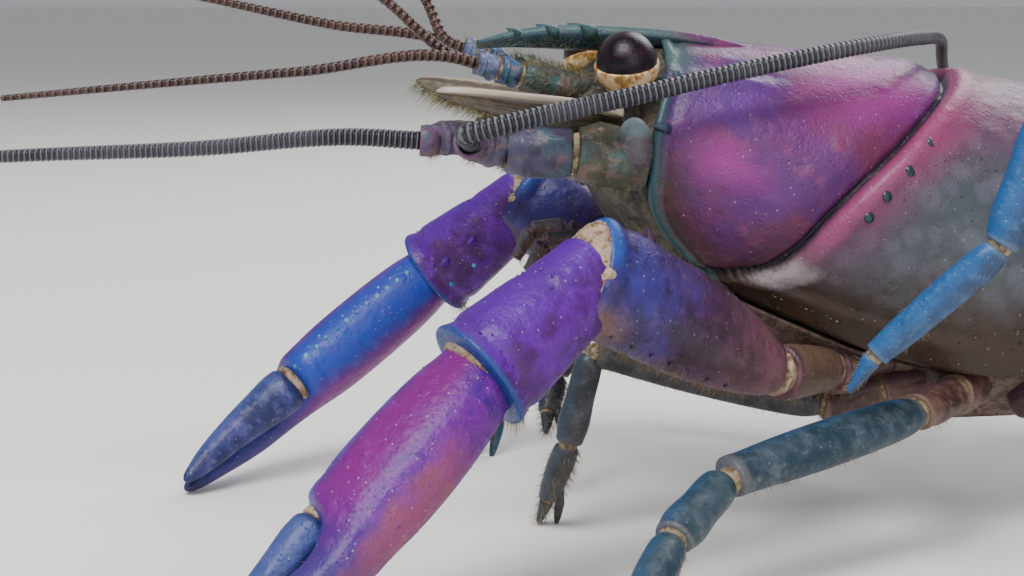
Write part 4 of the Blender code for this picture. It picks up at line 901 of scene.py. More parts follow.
def feeler_surface(places, radii, period, sides=10, per_ring=6):
    """Whip: a round section on a smooth line whose radius swells once in each period."""
    places = np.array(places, float)
    steps = np.concatenate(([0.0], np.cumsum(np.linalg.norm(np.diff(places, axis=0), axis=1))))
    along = np.linspace(0.0, steps[-1], int(steps[-1] / period * per_ring) + 2)
    line = np.column_stack([table(along, np.column_stack((steps, places[:, axis]))) for axis in range(3)])
    tangent = unit(np.gradient(line, axis=0))
    wide = unit(np.cross(tangent, (0.31, 0.12, 0.94)))
    deep = np.cross(wide, tangent)
    share = along / steps[-1]
    radius = radii[0] + (radii[1] - radii[0]) * share
    radius = radius * (1 + 0.055 * np.sin(2 * np.pi * along / period))
    radius[0] *= 0.6
    radius[-1] *= 0.35
    angle = np.linspace(0, 2 * np.pi, sides, endpoint=False)[None, :]
    grid = (line[:, None] + (radius[:, None] * np.cos(angle))[..., None] * wide[:, None]
        + (radius[:, None] * np.sin(angle))[..., None] * deep[:, None])
    flow = np.stack(np.broadcast_arrays(along[:, None], np.cos(angle), np.sin(angle)), axis=-1)
    return tube(grid, flow)


def claw_limbs(side, flip):
    """The chains of a claw leg: ischium, merus, carpus, palm with its fixed finger, and moving finger."""
    root = leg_root(1, flip)
    ischium_end, knee, wrist, finger_joint, tip = (np.array(place) for place in CLAW_POSE[side])
    along, breadth, thick = claw_frame(side, wrist, finger_joint)
    half, deep = CLAW_BREADTH / 2, CLAW_THICKNESS[side] / 2
    ischium = Limb((root - unit(ischium_end - root) * 1.5, ischium_end), level(root, ischium_end),
        ((0.0, 1.9, 1.8), (0.2, 2.0, 1.9), (0.36, 1.6, 1.65), (0.7, 1.7, 1.8), (0.96, 1.6, 1.8), (1.08, 1.1, 1.3)))
    merus = Limb((ischium_end, knee), level(ischium_end, knee), ((-0.06, 1.1, 1.3), (0.03, 1.6, 1.85),
        (0.2, 1.9, 2.6), (0.45, 2.3, 3.3), (0.7, 2.65, 3.5), (0.92, 2.75, 3.6), (1.05, 2.4, 3.3), (1.13, 1.6, 2.3)),
        crest=0.25)
    carpus = Limb((knee, wrist), level(knee, wrist), ((-0.16, 2.1, 2.5), (0.02, 2.4, 2.75), (0.2, 2.6, 2.85),
        (0.4, 2.95, 3.05), (0.65, 3.2, 3.3), (0.9, 3.4, 3.5), (1.02, 3.3, 3.4), (1.1, 2.6, 2.6)), power=2.1)
    palm = Limb((wrist, finger_joint, tip), breadth, ((-0.1, 0.62 * half, 0.72 * deep),
        (0.0, 0.76 * half, 0.86 * deep), (0.18, 0.88 * half, 0.95 * deep), (0.5, half, deep),
        (0.8, 0.99 * half, 0.95 * deep), (0.93, 0.93 * half, 0.86 * deep, -0.03 * half),
        (1.02, 0.60 * half, 0.74 * deep, -0.34 * half), (1.12, 0.48 * half, 0.66 * deep, -0.46 * half),
        (1.4, 0.39 * half, 0.57 * deep, -0.40 * half), (1.7, 0.25 * half, 0.38 * deep, -0.22 * half),
        (1.9, 0.14 * half, 0.22 * deep, -0.08 * half), (1.99, 0.06 * half, 0.1 * deep, 0.0)), power=2.25,
        upward=thick)
    hinge = finger_joint + along * 0.2 + breadth * half * 0.5
    end = tip + breadth * 1.1 - along * 0.1 + np.array((0.0, 0.0, 0.35))
    middle = finger_joint + along * 5.8 + breadth * half * 0.5
    dactyl = Limb((hinge - along * 0.6, middle, end), breadth, ((0.0, 0.36 * half, 0.6 * deep),
        (0.2, 0.42 * half, 0.66 * deep), (0.6, 0.38 * half, 0.58 * deep), (1.0, 0.32 * half, 0.48 * deep),
        (1.6, 0.2 * half, 0.32 * deep), (1.97, 0.07 * half, 0.12 * deep)), upward=thick, bend=0.25)
    return ischium, merus, carpus, palm, dactyl


def inner_angle(limb, flip):
    """Angle round a limb of its side towards the body's middle."""
    outward = limb.points(np.array([0.5]), np.array([0.0]))[1][0]
    return 0.0 if outward[0] * flip[0] < 0 else math.pi


def row_of(limb, places, angles, height, radius, lean=0.6, fullness=1.2, flow=(0.5, 0.0, 1.0), sides=9):
    """Spines or knobs on a limb, leaning towards its tip."""
    points, outward = limb.points(places, angles)
    tangent = limb.frame(np.broadcast_to(places, len(points)))[1]
    return spikes(points - outward * 0.1, outward + tangent * lean, height, radius, 0.0, sides, 5, 0.35, fullness,
        flow)


def scattered(rng, limb, count, low, high, from_angle, to_angle, height, radius):
    """Small rounded granules strewn over a stretch of a limb."""
    places = rng.uniform(low, high, count)
    angles = rng.uniform(from_angle, to_angle, count)
    points, outward = limb.points(places, angles)
    size = rng.uniform(0.6, 1.2, count)
    return spikes(points - outward * 0.03, outward, height * size, radius * size, 0.0, 6, 3, 0.4, 2.6,
        (0.5, 0.0, 0.6))


def fringe(rng, points, directions, shares, length, radius=0.024, spread=0.28, droop=(0.0, 0.0, -0.15)):
    """Setae: thin three-sided hairs with a soft bend, and the places of their roots on the skin's unwrap."""
    count = len(points)
    directions = unit(unit(directions) + rng.normal(0.0, spread, (count, 3)))
    lengths = length * rng.uniform(0.55, 1.15, count)
    bends = (np.asarray(droop) + rng.normal(0.0, 0.06, (count, 3))) * lengths[:, None]
    return spikes(points - directions * 0.08, directions, lengths, radius, bends, 3, 3, 0.1, 1.0), np.clip(shares,
        0.01, 0.99)


def limb_fringe(rng, limb, count, low, high, angle, width, lean, length, **options):
    """Setae strewn over a stretch of a limb, along one angle round it."""
    places = rng.uniform(low, high, count)
    angles = angle + rng.normal(0.0, width, count)
    points, outward = limb.points(places, angles)
    shares = np.column_stack((places / limb.stations[-1][0], np.mod(angles, 2 * np.pi) / (2 * np.pi)))
    return fringe(rng, points - outward * 0.1, outward + limb.frame(places)[1] * lean, shares, length, **options)


def coat(name, groups, finish, slot="shell_cream"):
    """One piece of setae. On its OFBake map a group has its own strip, and each hair a patch 0.003 across."""
    places = []
    for number, (solid, shares) in enumerate(groups):
        each = len(solid.points) // len(shares)
        corner = np.linspace(0, 2 * np.pi, each, endpoint=False)
        patch = 0.0015 * np.stack((np.cos(corner), np.sin(corner)), axis=-1)
        strip = np.column_stack(((number + shares[:, 0]) / len(groups), shares[:, 1]))
        places.append((strip[:, None] + patch[None]).reshape(-1, 2))
    return make_piece(name, [solid for solid, shares in groups], finish, places=np.concatenate(places))


class Tones:
    """Colours of the shell. Pink and cream are taken from the user's settings."""

    def __init__(self, settings):
        self.pink = tuple(settings.pink)
        self.cream = tuple(settings.cream)
        self.wine = (0.14, 0.04, 0.085)
        self.purple = (0.085, 0.030, 0.14)
        self.lilac = (0.15, 0.065, 0.27)
        self.plum = (0.085, 0.045, 0.065)
        self.teal = (0.05, 0.12, 0.115)
        self.mauve = (0.12, 0.06, 0.105)
        self.rosy = (0.18, 0.105, 0.155)
        self.marble = (0.42, 0.36, 0.38)
        self.grey_teal = (0.09, 0.10, 0.115)
        self.grey_blue = (0.16, 0.165, 0.20)
        self.brown = (0.048, 0.030, 0.022)
        self.rose = (0.30, 0.085, 0.17)
        self.dark = (0.010, 0.011, 0.018)
        self.margin = (0.03, 0.07, 0.08)
        self.white = (0.52, 0.50, 0.56)
        self.stalk = (0.88, 0.68, 0.44)
        self.amber = (0.46, 0.27, 0.11)
        self.slate = (0.035, 0.055, 0.08)
        self.rust = (0.07, 0.03, 0.026)


class CrayfishSettings(bpy.types.PropertyGroup):
    """Sizes and colours of the model."""

    groove_depth: bpy.props.FloatProperty(name="Groove depth", description="Depth of the neck groove",
        default=0.00055, min=0.0, max=0.002, unit="LENGTH", precision=5)
    ring_period: bpy.props.FloatProperty(name="Feeler ring", description="Length of one ring of the long feelers",
        default=0.0004, min=0.0002, max=0.002, unit="LENGTH", precision=5)
    pink: bpy.props.FloatVectorProperty(name="Pink", description="Pink of the head shell",
        default=(0.30, 0.065, 0.235), subtype="COLOR", min=0.0, max=1.0)
    cream: bpy.props.FloatVectorProperty(name="Cream", description="Cream of joint skins and eyestalks",
        default=(0.50, 0.40, 0.27), subtype="COLOR", min=0.0, max=1.0)
    floor_tone: bpy.props.FloatVectorProperty(name="Floor", description="Colour of the floor",
        default=(0.88, 0.86, 0.83), subtype="COLOR", min=0.0, max=1.0)
    light_power: bpy.props.FloatProperty(name="Light power", description="Strength of the main soft light",
        default=1.0, min=0.0, max=10.0)


class CRAYFISH_OT_carapace(bpy.types.Operator):
    """Head-and-thorax shell with its groove, spots, ridges, rostrum and teeth"""

    bl_idname = "crayfish.carapace"
    bl_label = "Carapace"

    def execute(self, context):
        settings = context.scene.crayfish
        tones = Tones(settings)
        rng = np.random.default_rng(11)
        solids = [carapace_surface(settings), rostrum_surface()]
        for sign in (1.0, -1.0):
            y = np.array(ROSTRUM_TEETH)
            half, height = table(y, ROSTRUM), table(y, ROSTRUM, 2)
            bases = body_point(sign * (half - 0.1), y, height + 0.3)
            ahead = body_direction(0.55 * sign, -0.8, 0.38)
            solids.append(spikes(bases, np.tile(ahead, (3, 1)), 0.45 + 0.25 * half, 0.24 * half, 0.0, 12, 6, 0.6,
                1.2, (-20.0, 0.1, 0.5)))
            for y_place, height in ((12.5, 1.0), (15.6, 0.4)):
                base = carapace_place(y_place, 0.3, sign)
                lean = carapace_normal(y_place, 0.3, sign) * 0.45 + body_direction(0, -0.9, 0)
                solids.append(spikes(base, lean, height, 0.42, 0.0, 12, 6, 0.6, 1.5, (-15.0, 0.1, 0.5)))
            base = carapace_place(11.9, 0.46, sign)
            solids.append(spikes(base, body_direction(0.3 * sign, -1, 0.1), 0.8, 0.36, 0.0, 12, 6, 0.6, 1.5,
                (-14.0, 0.35, 0.2)))
            t = rng.uniform(0.42, 0.97, 330)
            front, groove, rear = table(t, FRONT_MARGIN), table(t, GROOVE), table(t, REAR_MARGIN)
            share = rng.uniform(0.12, 0.98, 330) ** 0.8
            y = front + (rear - front) * share
            keep = np.abs(y - groove) > 0.8
            points = carapace_place(y[keep], t[keep], sign)
            normals = carapace_normal(y[keep], t[keep], sign)
            size = rng.uniform(0.5, 1.1, keep.sum())
            knobs = spikes(points - normals * 0.02, normals, 0.05 * size, 0.085 * size, 0.0, 6, 3, 0.6, 2.6)
            each = len(knobs.points) // keep.sum()
            knobs.flow = np.repeat(np.column_stack((y[keep] - groove[keep], t[keep], y[keep] - front[keep])), each,
                axis=0)
            solids.append(knobs)
        make_piece("carapace_shell", solids, carapace_finish(tones), ("carapace",))

        spots = []
        whites = []
        for sign in (1.0, -1.0):
            for share, behind in SPOTS:
                y = table(share, GROOVE) + behind
                normal = carapace_normal(y, share, sign)
                lean = normal + body_direction(0.0, -0.35, 0.0)
                spots.append(spikes(carapace_place(y, share, sign) + normal * 0.12, lean, 0.26, 0.36, 0.0, 14, 5,
                    1.2, 2.2))
            y = np.linspace(21.3, 26.2, 12)
            level_share = 0.945 + 0.004 * np.sin(y * 3)
            normals = carapace_normal(y, level_share, sign)
            whites.append(spikes(carapace_place(y, level_share, sign) + normals * 0.05, normals, 0.1, 0.09, 0.0, 8,
                4, 1.0, 2.4))
        dark = Finish("spot_dark", 0.3, 0.3)
        dark.colour(dark.mix(dark.noise(1.5), (0.015, 0.03, 0.04), (0.035, 0.06, 0.08)))
        make_piece("groove_spots", spots, dark.material)
        pale = Finish("granule_pale", 0.35, 0.3)
        pale.colour(pale.mix(pale.noise(1.5), (0.34, 0.32, 0.33), (0.5, 0.48, 0.5)))
        make_piece("pale_granules", whites, pale.material)
        groups = []
        for sign in (1.0, -1.0):
            y = rng.uniform(0.1, 11.0, 260)
            half, height = table(y, ROSTRUM), table(y, ROSTRUM, 2)
            below = rng.uniform(0.0, 1.0, 260)
            points = body_point(sign * half * (0.95 - 0.35 * below), y,
                height - 0.1 - 0.7 * below * np.minimum(1.0, y / 4))
            heading = body_direction(0.9 * sign, -0.55, 0.25) + np.outer(below, (0.0, 0.0, -0.7))
            shares = np.column_stack((y / ROSTRUM_LENGTH, 0.5 + sign * (0.2 + 0.2 * below)))
            groups.append(fringe(rng, points, heading, shares, 0.75))
        y = rng.uniform(0.05, 0.6, 40)
        groups.append(fringe(rng, body_point(0.0, y, 0.2), np.tile(body_direction(0.0, -1.0, 0.5), (40, 1)),
            np.column_stack((y, y)), 0.7, spread=0.45))
        coat("setae_rostrum", groups, seta_finish("seta_olive", (0.16, 0.15, 0.09), (0.34, 0.31, 0.22)))
        return {"FINISHED"}


class CRAYFISH_OT_head(bpy.types.Operator):
    """Face, eyes on their stalks, and the third mouth legs"""

    bl_idname = "crayfish.head"
    bl_label = "Head, eyes and mouth"

    def execute(self, context):
        tones = Tones(context.scene.crayfish)
        skin = skin_finish("face_skin", (0.13, 0.11, 0.085), (0.035, 0.03, 0.028), 1.3)
        make_piece("face", [head_front_surface()], skin, ("head_front",))
        make_piece("thorax_keel", [thorax_surface()], skin_finish("keel_shell", (0.20, 0.14, 0.12),
            (0.07, 0.045, 0.045)), ("thorax_underside",))
        glass, stalk_finish = cornea_finish(), eyestalk_finish(tones)
        rng = np.random.default_rng(31)
        groups = []
        # The mouth legs take dark brown and plum tones, partly their own colour and partly painted shade, so that
        # they sink into the shade under the head.
        mouth = limb_finish("mouth_legs", tones.brown, tones.plum, tones.mauve, tones.grey_teal, tones.plum, tones,
            0.12)
        for side, flip in SIDES:
            centre, axis = np.array(EYE_CENTRE) * flip, unit(np.array(EYE_AXIS) * flip)
            make_piece(f"eye_{side}", [ball(centre, axis, (EYE_RADIUS, EYE_RADIUS * 1.03, EYE_RADIUS * 1.0), 40,
                56)], glass, (f"cornea_{side}",))
            root = np.array(STALK_ROOT) * flip
            cup_axis = unit(np.array(EYE_CUP_AXIS) * flip)
            stalk = Limb((root, centre - cup_axis * 1.2), np.cross(cup_axis, (0.0, 1.0, 0.0)),
                ((0.0, 1.5, 1.5), (0.5, 1.45, 1.45), (1.0, 1.7, 1.7)))
            parts = [stalk.surface(0.0, 1.0, 40, 44, 0.0, 0.3, lambda share, angle: 0.05
                * np.sin(share * 26 + 0.6 * np.sin(angle * 3))), turned(centre, cup_axis, EYE_CUP, 60)]
            parts[0].flow[:, 0] *= 0.5
            parts[1].flow[:, 0] = 0.45 + 0.55 * parts[1].flow[:, 0]
            make_piece(f"eye_stalk_{side}", parts, stalk_finish, (f"eyestalk_{side}",))
            joints = [body_point(*place) * flip for place in MOUTH_LEG]
            leg = Limb(joints, (1.0, 0.0, 0.0), ((0.0, 1.5, 1.0), (0.3, 1.7, 1.05), (0.92, 1.6, 1.0),
                (1.0, 1.25, 0.9), (1.15, 1.4, 1.0), (1.9, 1.1, 0.9), (2.0, 0.95, 0.8), (2.2, 0.95, 0.8),
                (3.0, 0.7, 0.65), (3.9, 0.35, 0.35)))
            parts = segments(leg, (0.0, 1.0, 2.0, 3.0, 3.95), 0.1)
            groups += [limb_fringe(rng, leg, 130, 0.3, 3.9, angle, 0.4, 0.4, 1.0)
                for angle in (0.0, math.pi, BELOW)]
            make_piece(f"mouth_leg_{side}", parts, mouth, (f"maxilliped_{side}",))
        coat("setae_mouth", groups, seta_finish("seta_tan", (0.17, 0.12, 0.07), (0.36, 0.28, 0.18)))
        return {"FINISHED"}


def banded_finish(name, bands):
    """Feeler base: each band of flow's first value, 2 wide, has its own tone, with pale ends and mottling."""
    finish = Finish(name)
    along = finish.flow[0]
    blots, fine = finish.noise(0.9, 5.0), finish.noise(3.0, 4.0)
    base = bands[0]
    for number, tone in enumerate(bands[1:], 1):
        base = finish.mix(finish.step(along, number * 2 - 0.6, number * 2 - 0.4), base, tone)
    base = finish.mix(finish.step(blots + (fine - 0.5) * 0.5, 0.42, 0.66) * 0.6, base, (0.05, 0.04, 0.05))
    base = finish.mix(finish.step(finish.noise(0.6, 3.0), 0.5, 0.66) * 0.55, base, (0.06, 0.14, 0.15))
    base = finish.mix(finish.step(finish.noise(0.75, 3.0, 0.6, 0.5), 0.52, 0.64) * 0.5, base, (0.26, 0.17, 0.15))
    base = finish.mix(finish.step(fine, 0.56, 0.72) * 0.25, base, (0.20, 0.20, 0.23))
    base = finish.mix(finish.step(along, 6.4, 6.15) * finish.step(along, 5.6, 5.9) * 0.8, base, (0.26, 0.34, 0.36))
    # Painted shade: near-black on the inner lip of the cup round the whip's root.
    base = finish.mix(finish.step(along, 8.72, 8.9), base, (0.01, 0.006, 0.008))
    finish.colour(base)
    shell_bump(finish, 1.2, 3.4)
    return finish.material


class CRAYFISH_OT_feelers(bpy.types.Operator):
    """Both pairs of feelers with their ringed whips, and the flat scales beside them"""

    bl_idname = "crayfish.feelers"
    bl_label = "Feelers"

    def execute(self, context):
        settings = context.scene.crayfish
        tones = Tones(settings)
        period = settings.ring_period / MM
        short_base = banded_finish("short_feeler_base", ((0.075, 0.09, 0.07), (0.05, 0.09, 0.20),
            (0.15, 0.17, 0.30)))
        long_base = banded_finish("long_feeler_base", ((0.085, 0.085, 0.06), (0.10, 0.09, 0.15), (0.16, 0.12, 0.19),
            (0.09, 0.08, 0.09), (0.17, 0.09, 0.17)))
        skin = skin_finish("feeler_skin", tones.cream, (0.22, 0.15, 0.09))
        short = whip_finish("short_whip", (0.022, 0.010, 0.012), (0.12, 0.07, 0.06), period * 1.3)
        long = whip_finish("long_whip", (0.022, 0.024, 0.03), (0.14, 0.14, 0.16), period)
        rng = np.random.default_rng(41)
        groups = []
        uneven = lambda share, angle: (rims(share, angle) + 0.07 * np.sin(3 * angle + 5 * share)
            * np.sin(np.pi * share) + 0.05 * np.sin(5 * angle - 9 * share) + 0.08 * hill(share - 0.72, 0.05))
        for side, flip in SIDES:
            sign = flip[0]
            end = np.array(SHORT_FEELER_ENDS[side])
            joint = np.array((2.6 * sign, 2.7, 32.1 if side == "left" else 32.6))
            base = np.array((2.4 * sign, 7.6, 31.0))
            limb = Limb((base, joint, end), (1.0, 0.0, 0.0), ((0.0, 1.1, 1.0), (0.5, 1.2, 1.05), (0.95, 1.1, 0.95),
                (1.0, 0.98, 0.88), (1.1, 1.08, 0.92), (2.0, 1.15, 0.75)))
            parts = numbered(segments(limb, (0.0, 1.0, 1.5, 1.99), 0.05, 40, uneven))
            groups += [limb_fringe(rng, limb, 150, 0.1, 0.95, angle, 0.5, 0.7, 1.1) for angle in (0.3, 1.57, 2.8)]
            groups += [limb_fringe(rng, limb, 26, place - 0.03, place + 0.03, 1.57, 1.2, 0.6, 0.8)
                for place in (1.0, 1.5, 1.95)]
            make_piece(f"short_feeler_base_{side}", parts, short_base, (f"antennule_{side}",))
            make_piece(f"short_feeler_skin_{side}", [joint_skin(limb, 1.0), joint_skin(limb, 1.5)], skin)
            outward = unit(end - joint)
            for which, shift in (("outer", 0.58), ("inner", -0.58)):
                start = end - outward * 0.35 + np.array((shift * sign, 0.0, 0.0))
                places = (start, start + outward * 1.3, *SHORT_WHIPS[side, which])
                make_piece(f"short_whip_{side}_{which}", [feeler_surface(places, (0.42, 0.2), period * 1.3)], short,
                    (f"antennule_{side}_{which}_whip",))

            base = np.array((8.0 * sign, 10.5, 26.6))
            chain = (base, np.array((8.0 * sign, 5.6, 27.2)), np.array((7.1 * sign, 0.9, 27.3)),
                np.array(LONG_FEELER_ENDS[side]))
            limb = Limb(chain, (1.0, 0.0, 0.0), ((0.0, 2.0, 2.1), (0.4, 2.1, 2.1), (0.9, 1.85, 1.85),
                (1.0, 1.6, 1.6), (1.15, 1.65, 1.65), (1.9, 1.45, 1.45), (2.0, 1.2, 1.2), (2.35, 1.28, 1.28),
                (3.0, 1.08, 1.08)))
            parts = numbered(segments(limb, (0.0, 1.0, 2.0, 2.97), 0.05, 48, uneven))
            groups += [limb_fringe(rng, limb, 60, place - 0.05, place + 0.06, 4.7, 1.0, 0.8, 0.8)
                for place in (1.0, 2.0, 2.85)]
            groups.append(limb_fringe(rng, limb, 110, 0.0, 1.0, 4.7, 0.8, 0.5, 0.9))
            lobe = ball(np.array((9.3 * sign, 9.3, 27.6)), (0.0, 0.0, 1.0), (2.0, 1.15, 1.25), 24, 32)
            lobe.flow[:, 0] = 6.5 - 0.45 * lobe.flow[:, 0]
            tip = chain[-1]
            opening = unit(np.array(LONG_WHIPS[side][0]) - tip)
            cup = turned(tip - opening * 0.2, opening, ((-0.9, 0.7), (-0.6, 1.0), (0.0, 1.14), (0.5, 1.16),
                (0.62, 1.08), (0.58, 0.92), (0.3, 0.8), (-0.1, 0.7)), 40)
            cup.flow[:, 0] = 8.0 + cup.flow[:, 0]
            make_piece(f"long_feeler_base_{side}", [*parts, lobe, cup], long_base,
                (f"antenna_{side}",))
            make_piece(f"long_feeler_skin_{side}", [joint_skin(limb, 1.0), joint_skin(limb, 2.0)], skin)
            start = tip - opening * 0.3
            places = (start, start + opening * 0.9, *LONG_WHIPS[side])
            make_piece(f"long_whip_{side}", [feeler_surface(places, (0.68, 0.25), period, 12)], long,
                (f"antenna_{side}_whip",))
            groups.append(self.scale(rng, side, sign))
        coat("setae_feelers", groups, seta_finish("seta_straw", (0.20, 0.17, 0.09), (0.42, 0.37, 0.24)))
        return {"FINISHED"}

    def scale(self, rng, side, sign):
        """Flat pointed scale: a thin blade with a thick outer margin that ends in a spine."""
        limb = Limb((np.array((6.3 * sign, 9.0, 29.3)), np.array((7.0 * sign, 2.0, 30.2)),
            np.array((7.6 * sign, -3.6, 31.3))), (1.0, 0.0, 0.45 * sign),
            ((0.0, 1.2, 0.42), (0.35, 2.0, 0.36), (1.0, 2.1, 0.3), (1.5, 1.5, 0.25), (1.85, 0.8, 0.24),
            (2.0, 0.3, 0.2)))
        outer = 1.0 if limb.frame(np.array([1.0]))[2][0][0] * sign > 0 else -1.0
        margin = lambda share, angle: 0.16 * hill(np.cos(angle) * outer - 0.85,
            0.18) - 0.1 * hill(np.cos(angle) * outer - 0.4, 0.12)
        finish = Finish(f"scale_{side}", 0.4, 0.15)
        aside = finish.flow[1]
        base = finish.mix(finish.step(finish.noise(1.2, 4.0), 0.4, 0.6), (0.13, 0.11, 0.075), (0.27, 0.22, 0.15))
        base = finish.mix(finish.step(aside * outer, 0.62, 0.78), base, (0.52, 0.46, 0.38))
        streak = finish.step((aside * outer - 0.5).size(), 0.16, 0.04)
        base = finish.mix(streak * 0.85, base, (0.05, 0.03, 0.025))
        tan = finish.step((aside * outer - 0.72).size(), 0.08, 0.03) * finish.step(finish.noise(1.6), 0.4, 0.6)
        base = finish.mix(tan * 0.6, base, (0.33, 0.13, 0.05))
        base = finish.mix(finish.step(aside * outer, -0.3, -0.9) * 0.6, base, (0.12, 0.13, 0.12))
        finish.colour(base)
        finish.bump((aside * 24.0).sine(), 0.04)
        make_piece(f"feeler_scale_{side}", [limb.surface(steps=70, sides=48, round_start=0.3, round_end=0.5,
            relief=margin)], finish.material, (f"antennal_scale_{side}",))
        inner = math.pi if outer > 0 else 0.0
        return limb_fringe(rng, limb, 620, 0.25, 1.98, inner, 0.35, 0.9, 1.6, spread=0.16, droop=(0.0, 0.0, -0.35))


class CRAYFISH_OT_claws(bpy.types.Operator):
    """Claw legs: ischium, merus, carpus, palm with its fixed finger, moving finger, spines and joint skins"""

    bl_idname = "crayfish.claws"
    bl_label = "Claw legs"

    def execute(self, context):
        tones = Tones(context.scene.crayfish)
        rng = np.random.default_rng(23)
        skin = skin_finish("claw_skin", (0.50, 0.40, 0.30), (0.20, 0.11, 0.07), 1.4)
        arm = arm_finish(tones)
        wrist_shell = limb_finish("claw_wrist", (0.075, 0.022, 0.12), (0.13, 0.035, 0.30), (0.20, 0.075, 0.32),
            (0.11, 0.035, 0.30), (0.03, 0.075, 0.24), tones, 0.07, 0.14, 0.6)
        hand = palm_finish(tones)
        finger = limb_finish("moving_finger", (0.025, 0.03, 0.10), (0.07, 0.07, 0.22), (0.18, 0.20, 0.36),
            (0.09, 0.12, 0.30), (0.03, 0.04, 0.11), tones, 0.1, 0.14, 0.5)
        blue = Finish("tubercle_blue", 0.32, 0.25)
        blue.colour(blue.mix(blue.step(blue.noise(1.2), 0.4, 0.6), (0.05, 0.16, 0.42), (0.24, 0.46, 0.60)))
        groups = []
        for side, flip in SIDES:
            ischium, merus, carpus, palm, dactyl = claw_limbs(side, flip)
            groups += [limb_fringe(rng, merus, 420, 0.1, 1.02, BELOW, 0.3, 0.3, 0.85),
                limb_fringe(rng, merus, 110, 0.35, 0.85, ABOVE, 0.12, 0.5, 0.5),
                limb_fringe(rng, ischium, 120, 0.1, 1.0, BELOW, 0.5, 0.3, 0.8),
                limb_fringe(rng, ischium, 50, 0.95, 1.02, ABOVE, 0.5, 0.5, 0.6),
                limb_fringe(rng, carpus, 90, 0.93, 1.0, BELOW, 0.4, 0.8, 1.1),
                limb_fringe(rng, palm, 120, 1.0, 1.9, 0.0, 0.3, 0.3, 0.6),
                limb_fringe(rng, dactyl, 90, 0.6, 1.9, math.pi, 0.3, 0.3, 0.6)]
            inner = inner_angle(carpus, flip)
            parts = segments(ischium, (0.0, 0.335, 1.0))
            for part in parts:
                part.flow[:, 0] -= 1.0
            make_piece(f"claw_{side}_ischium", parts, arm, (f"cheliped_{side}_ischium",))
            ribs = lambda share, angle: (0.14 * hill(share - 0.965, 0.03) - 0.14 * hill(share - 0.9,
                0.03) - 0.15 * hill(share, 0.04) + 0.05 * np.sin(share * 9) * np.sin(angle * 2))
            parts = [merus.surface(0.03, 1.06, 110, 72, 0.5, 0.28, ribs),
                row_of(merus, np.linspace(0.28, 0.72, 8), ABOVE, 0.22, 0.22, 0.5, 1.8),
                row_of(merus, np.array((0.82,)), ABOVE, 1.0, 0.4, 0.7, 1.2, sides=12),
                scattered(rng, merus, 110, 0.1, 0.98, 0.0, 2 * np.pi, 0.05, 0.09)]
            for angle in (240.0, 300.0):
                parts.append(row_of(merus, np.linspace(0.3, 0.9, 7), math.radians(angle), 0.45, 0.22))
            make_piece(f"claw_{side}_merus", parts, arm, (f"cheliped_{side}_merus",))
            rim = lambda share, angle: (0.16 * hill(share - 0.97, 0.03) - 0.12 * hill(share - 0.88,
                0.035) - 0.12 * hill(share - 0.42, 0.05) * rise(np.sin(angle), 0.2, 0.9))
            parts = [carpus.surface(-0.13, 1.03, 100, 72, 1.3, 0.25, rim),
                row_of(carpus, np.array((0.5, 0.78)), inner, 0.75, 0.4, 0.7, 1.2, sides=12),
                scattered(rng, carpus, 130, 0.1, 0.97, 0.0, 2 * np.pi, 0.06, 0.1)]
            make_piece(f"claw_{side}_carpus", parts, wrist_shell, (f"cheliped_{side}_carpus",))
            bulge = lambda share, angle: (0.14 * hill(share - 0.49, 0.02) * rise(np.cos(angle), -0.2,
                0.4) - 0.1 * hill(share - 0.05, 0.03))
            parts = [palm.surface(-0.04, 1.985, 150, 72, 0.7, 0.5, bulge),
                scattered(rng, palm, 220, 0.05, 1.3, 0.0, 2 * np.pi, 0.05, 0.09),
                row_of(palm, np.array((1.2, 1.32, 1.44, 1.55, 1.66, 1.76, 1.84)), 0.0,
                np.array((0.3, 0.5, 0.35, 0.45, 0.3, 0.3, 0.25)), 0.3, 0.0, 2.2)]
            make_piece(f"claw_{side}_palm", parts, hand, (f"cheliped_{side}_palm",))
            parts = [dactyl.surface(0.0, 1.96, 90, 48, 0.9, 0.6), row_of(dactyl, np.linspace(0.5, 1.75, 9), math.pi,
                0.32, 0.26, 0.0, 2.2), scattered(rng, dactyl, 40, 0.1, 1.2, 0.3, 2.6, 0.06, 0.1)]
            make_piece(f"claw_{side}_moving_finger", parts, finger, (f"cheliped_{side}_dactyl",))
            rim_angles = np.radians((20.0, 50.0, 80.0, 110.0, 140.0, 170.0))
            beads = [row_of(palm, np.linspace(0.16, 0.93, 12), math.radians(12), 0.24, 0.27, 0.5, 1.8),
                row_of(palm, np.linspace(0.25, 0.9, 9), math.radians(24), 0.14, 0.18, 0.3, 2.2),
                row_of(carpus, np.array((0.62, 0.86)), inner + 0.5, 0.24, 0.24, 0.4, 1.8),
                row_of(merus, np.full(6, 1.0), rim_angles, 0.12, 0.14, 0.3, 2.0)]
            make_piece(f"claw_{side}_beads", beads, blue.material)
            fan = lambda share, angle: 0.035 * np.sin(angle * 22) * np.sin(np.pi * share)
            skins = [joint_skin(ischium, 0.335), joint_skin(ischium, 1.0), joint_skin(merus, 0.0, 0.95, 0.5),
                merus.surface(0.98, 1.12, 24, 96, 0.1, 0.8, fan, 0.97), joint_skin(carpus, 1.0, 0.8, 0.7),
                joint_skin(palm, -0.04, 0.9, 0.4), joint_skin(dactyl, 0.02, 0.95, 0.5)]
            for turn in (0.0, math.pi):
                spot, outward = merus.points(np.array([1.03]), np.array([turn]))
                skins.append(ball(spot[0] - outward[0] * 0.45, outward[0], (0.6, 0.6, 0.6), 14, 20))
            make_piece(f"claw_{side}_joint_skin", skins, skin)
        coat("setae_claws", groups, seta_finish("seta_brown", (0.20, 0.14, 0.08), (0.42, 0.33, 0.22)))
        return {"FINISHED"}


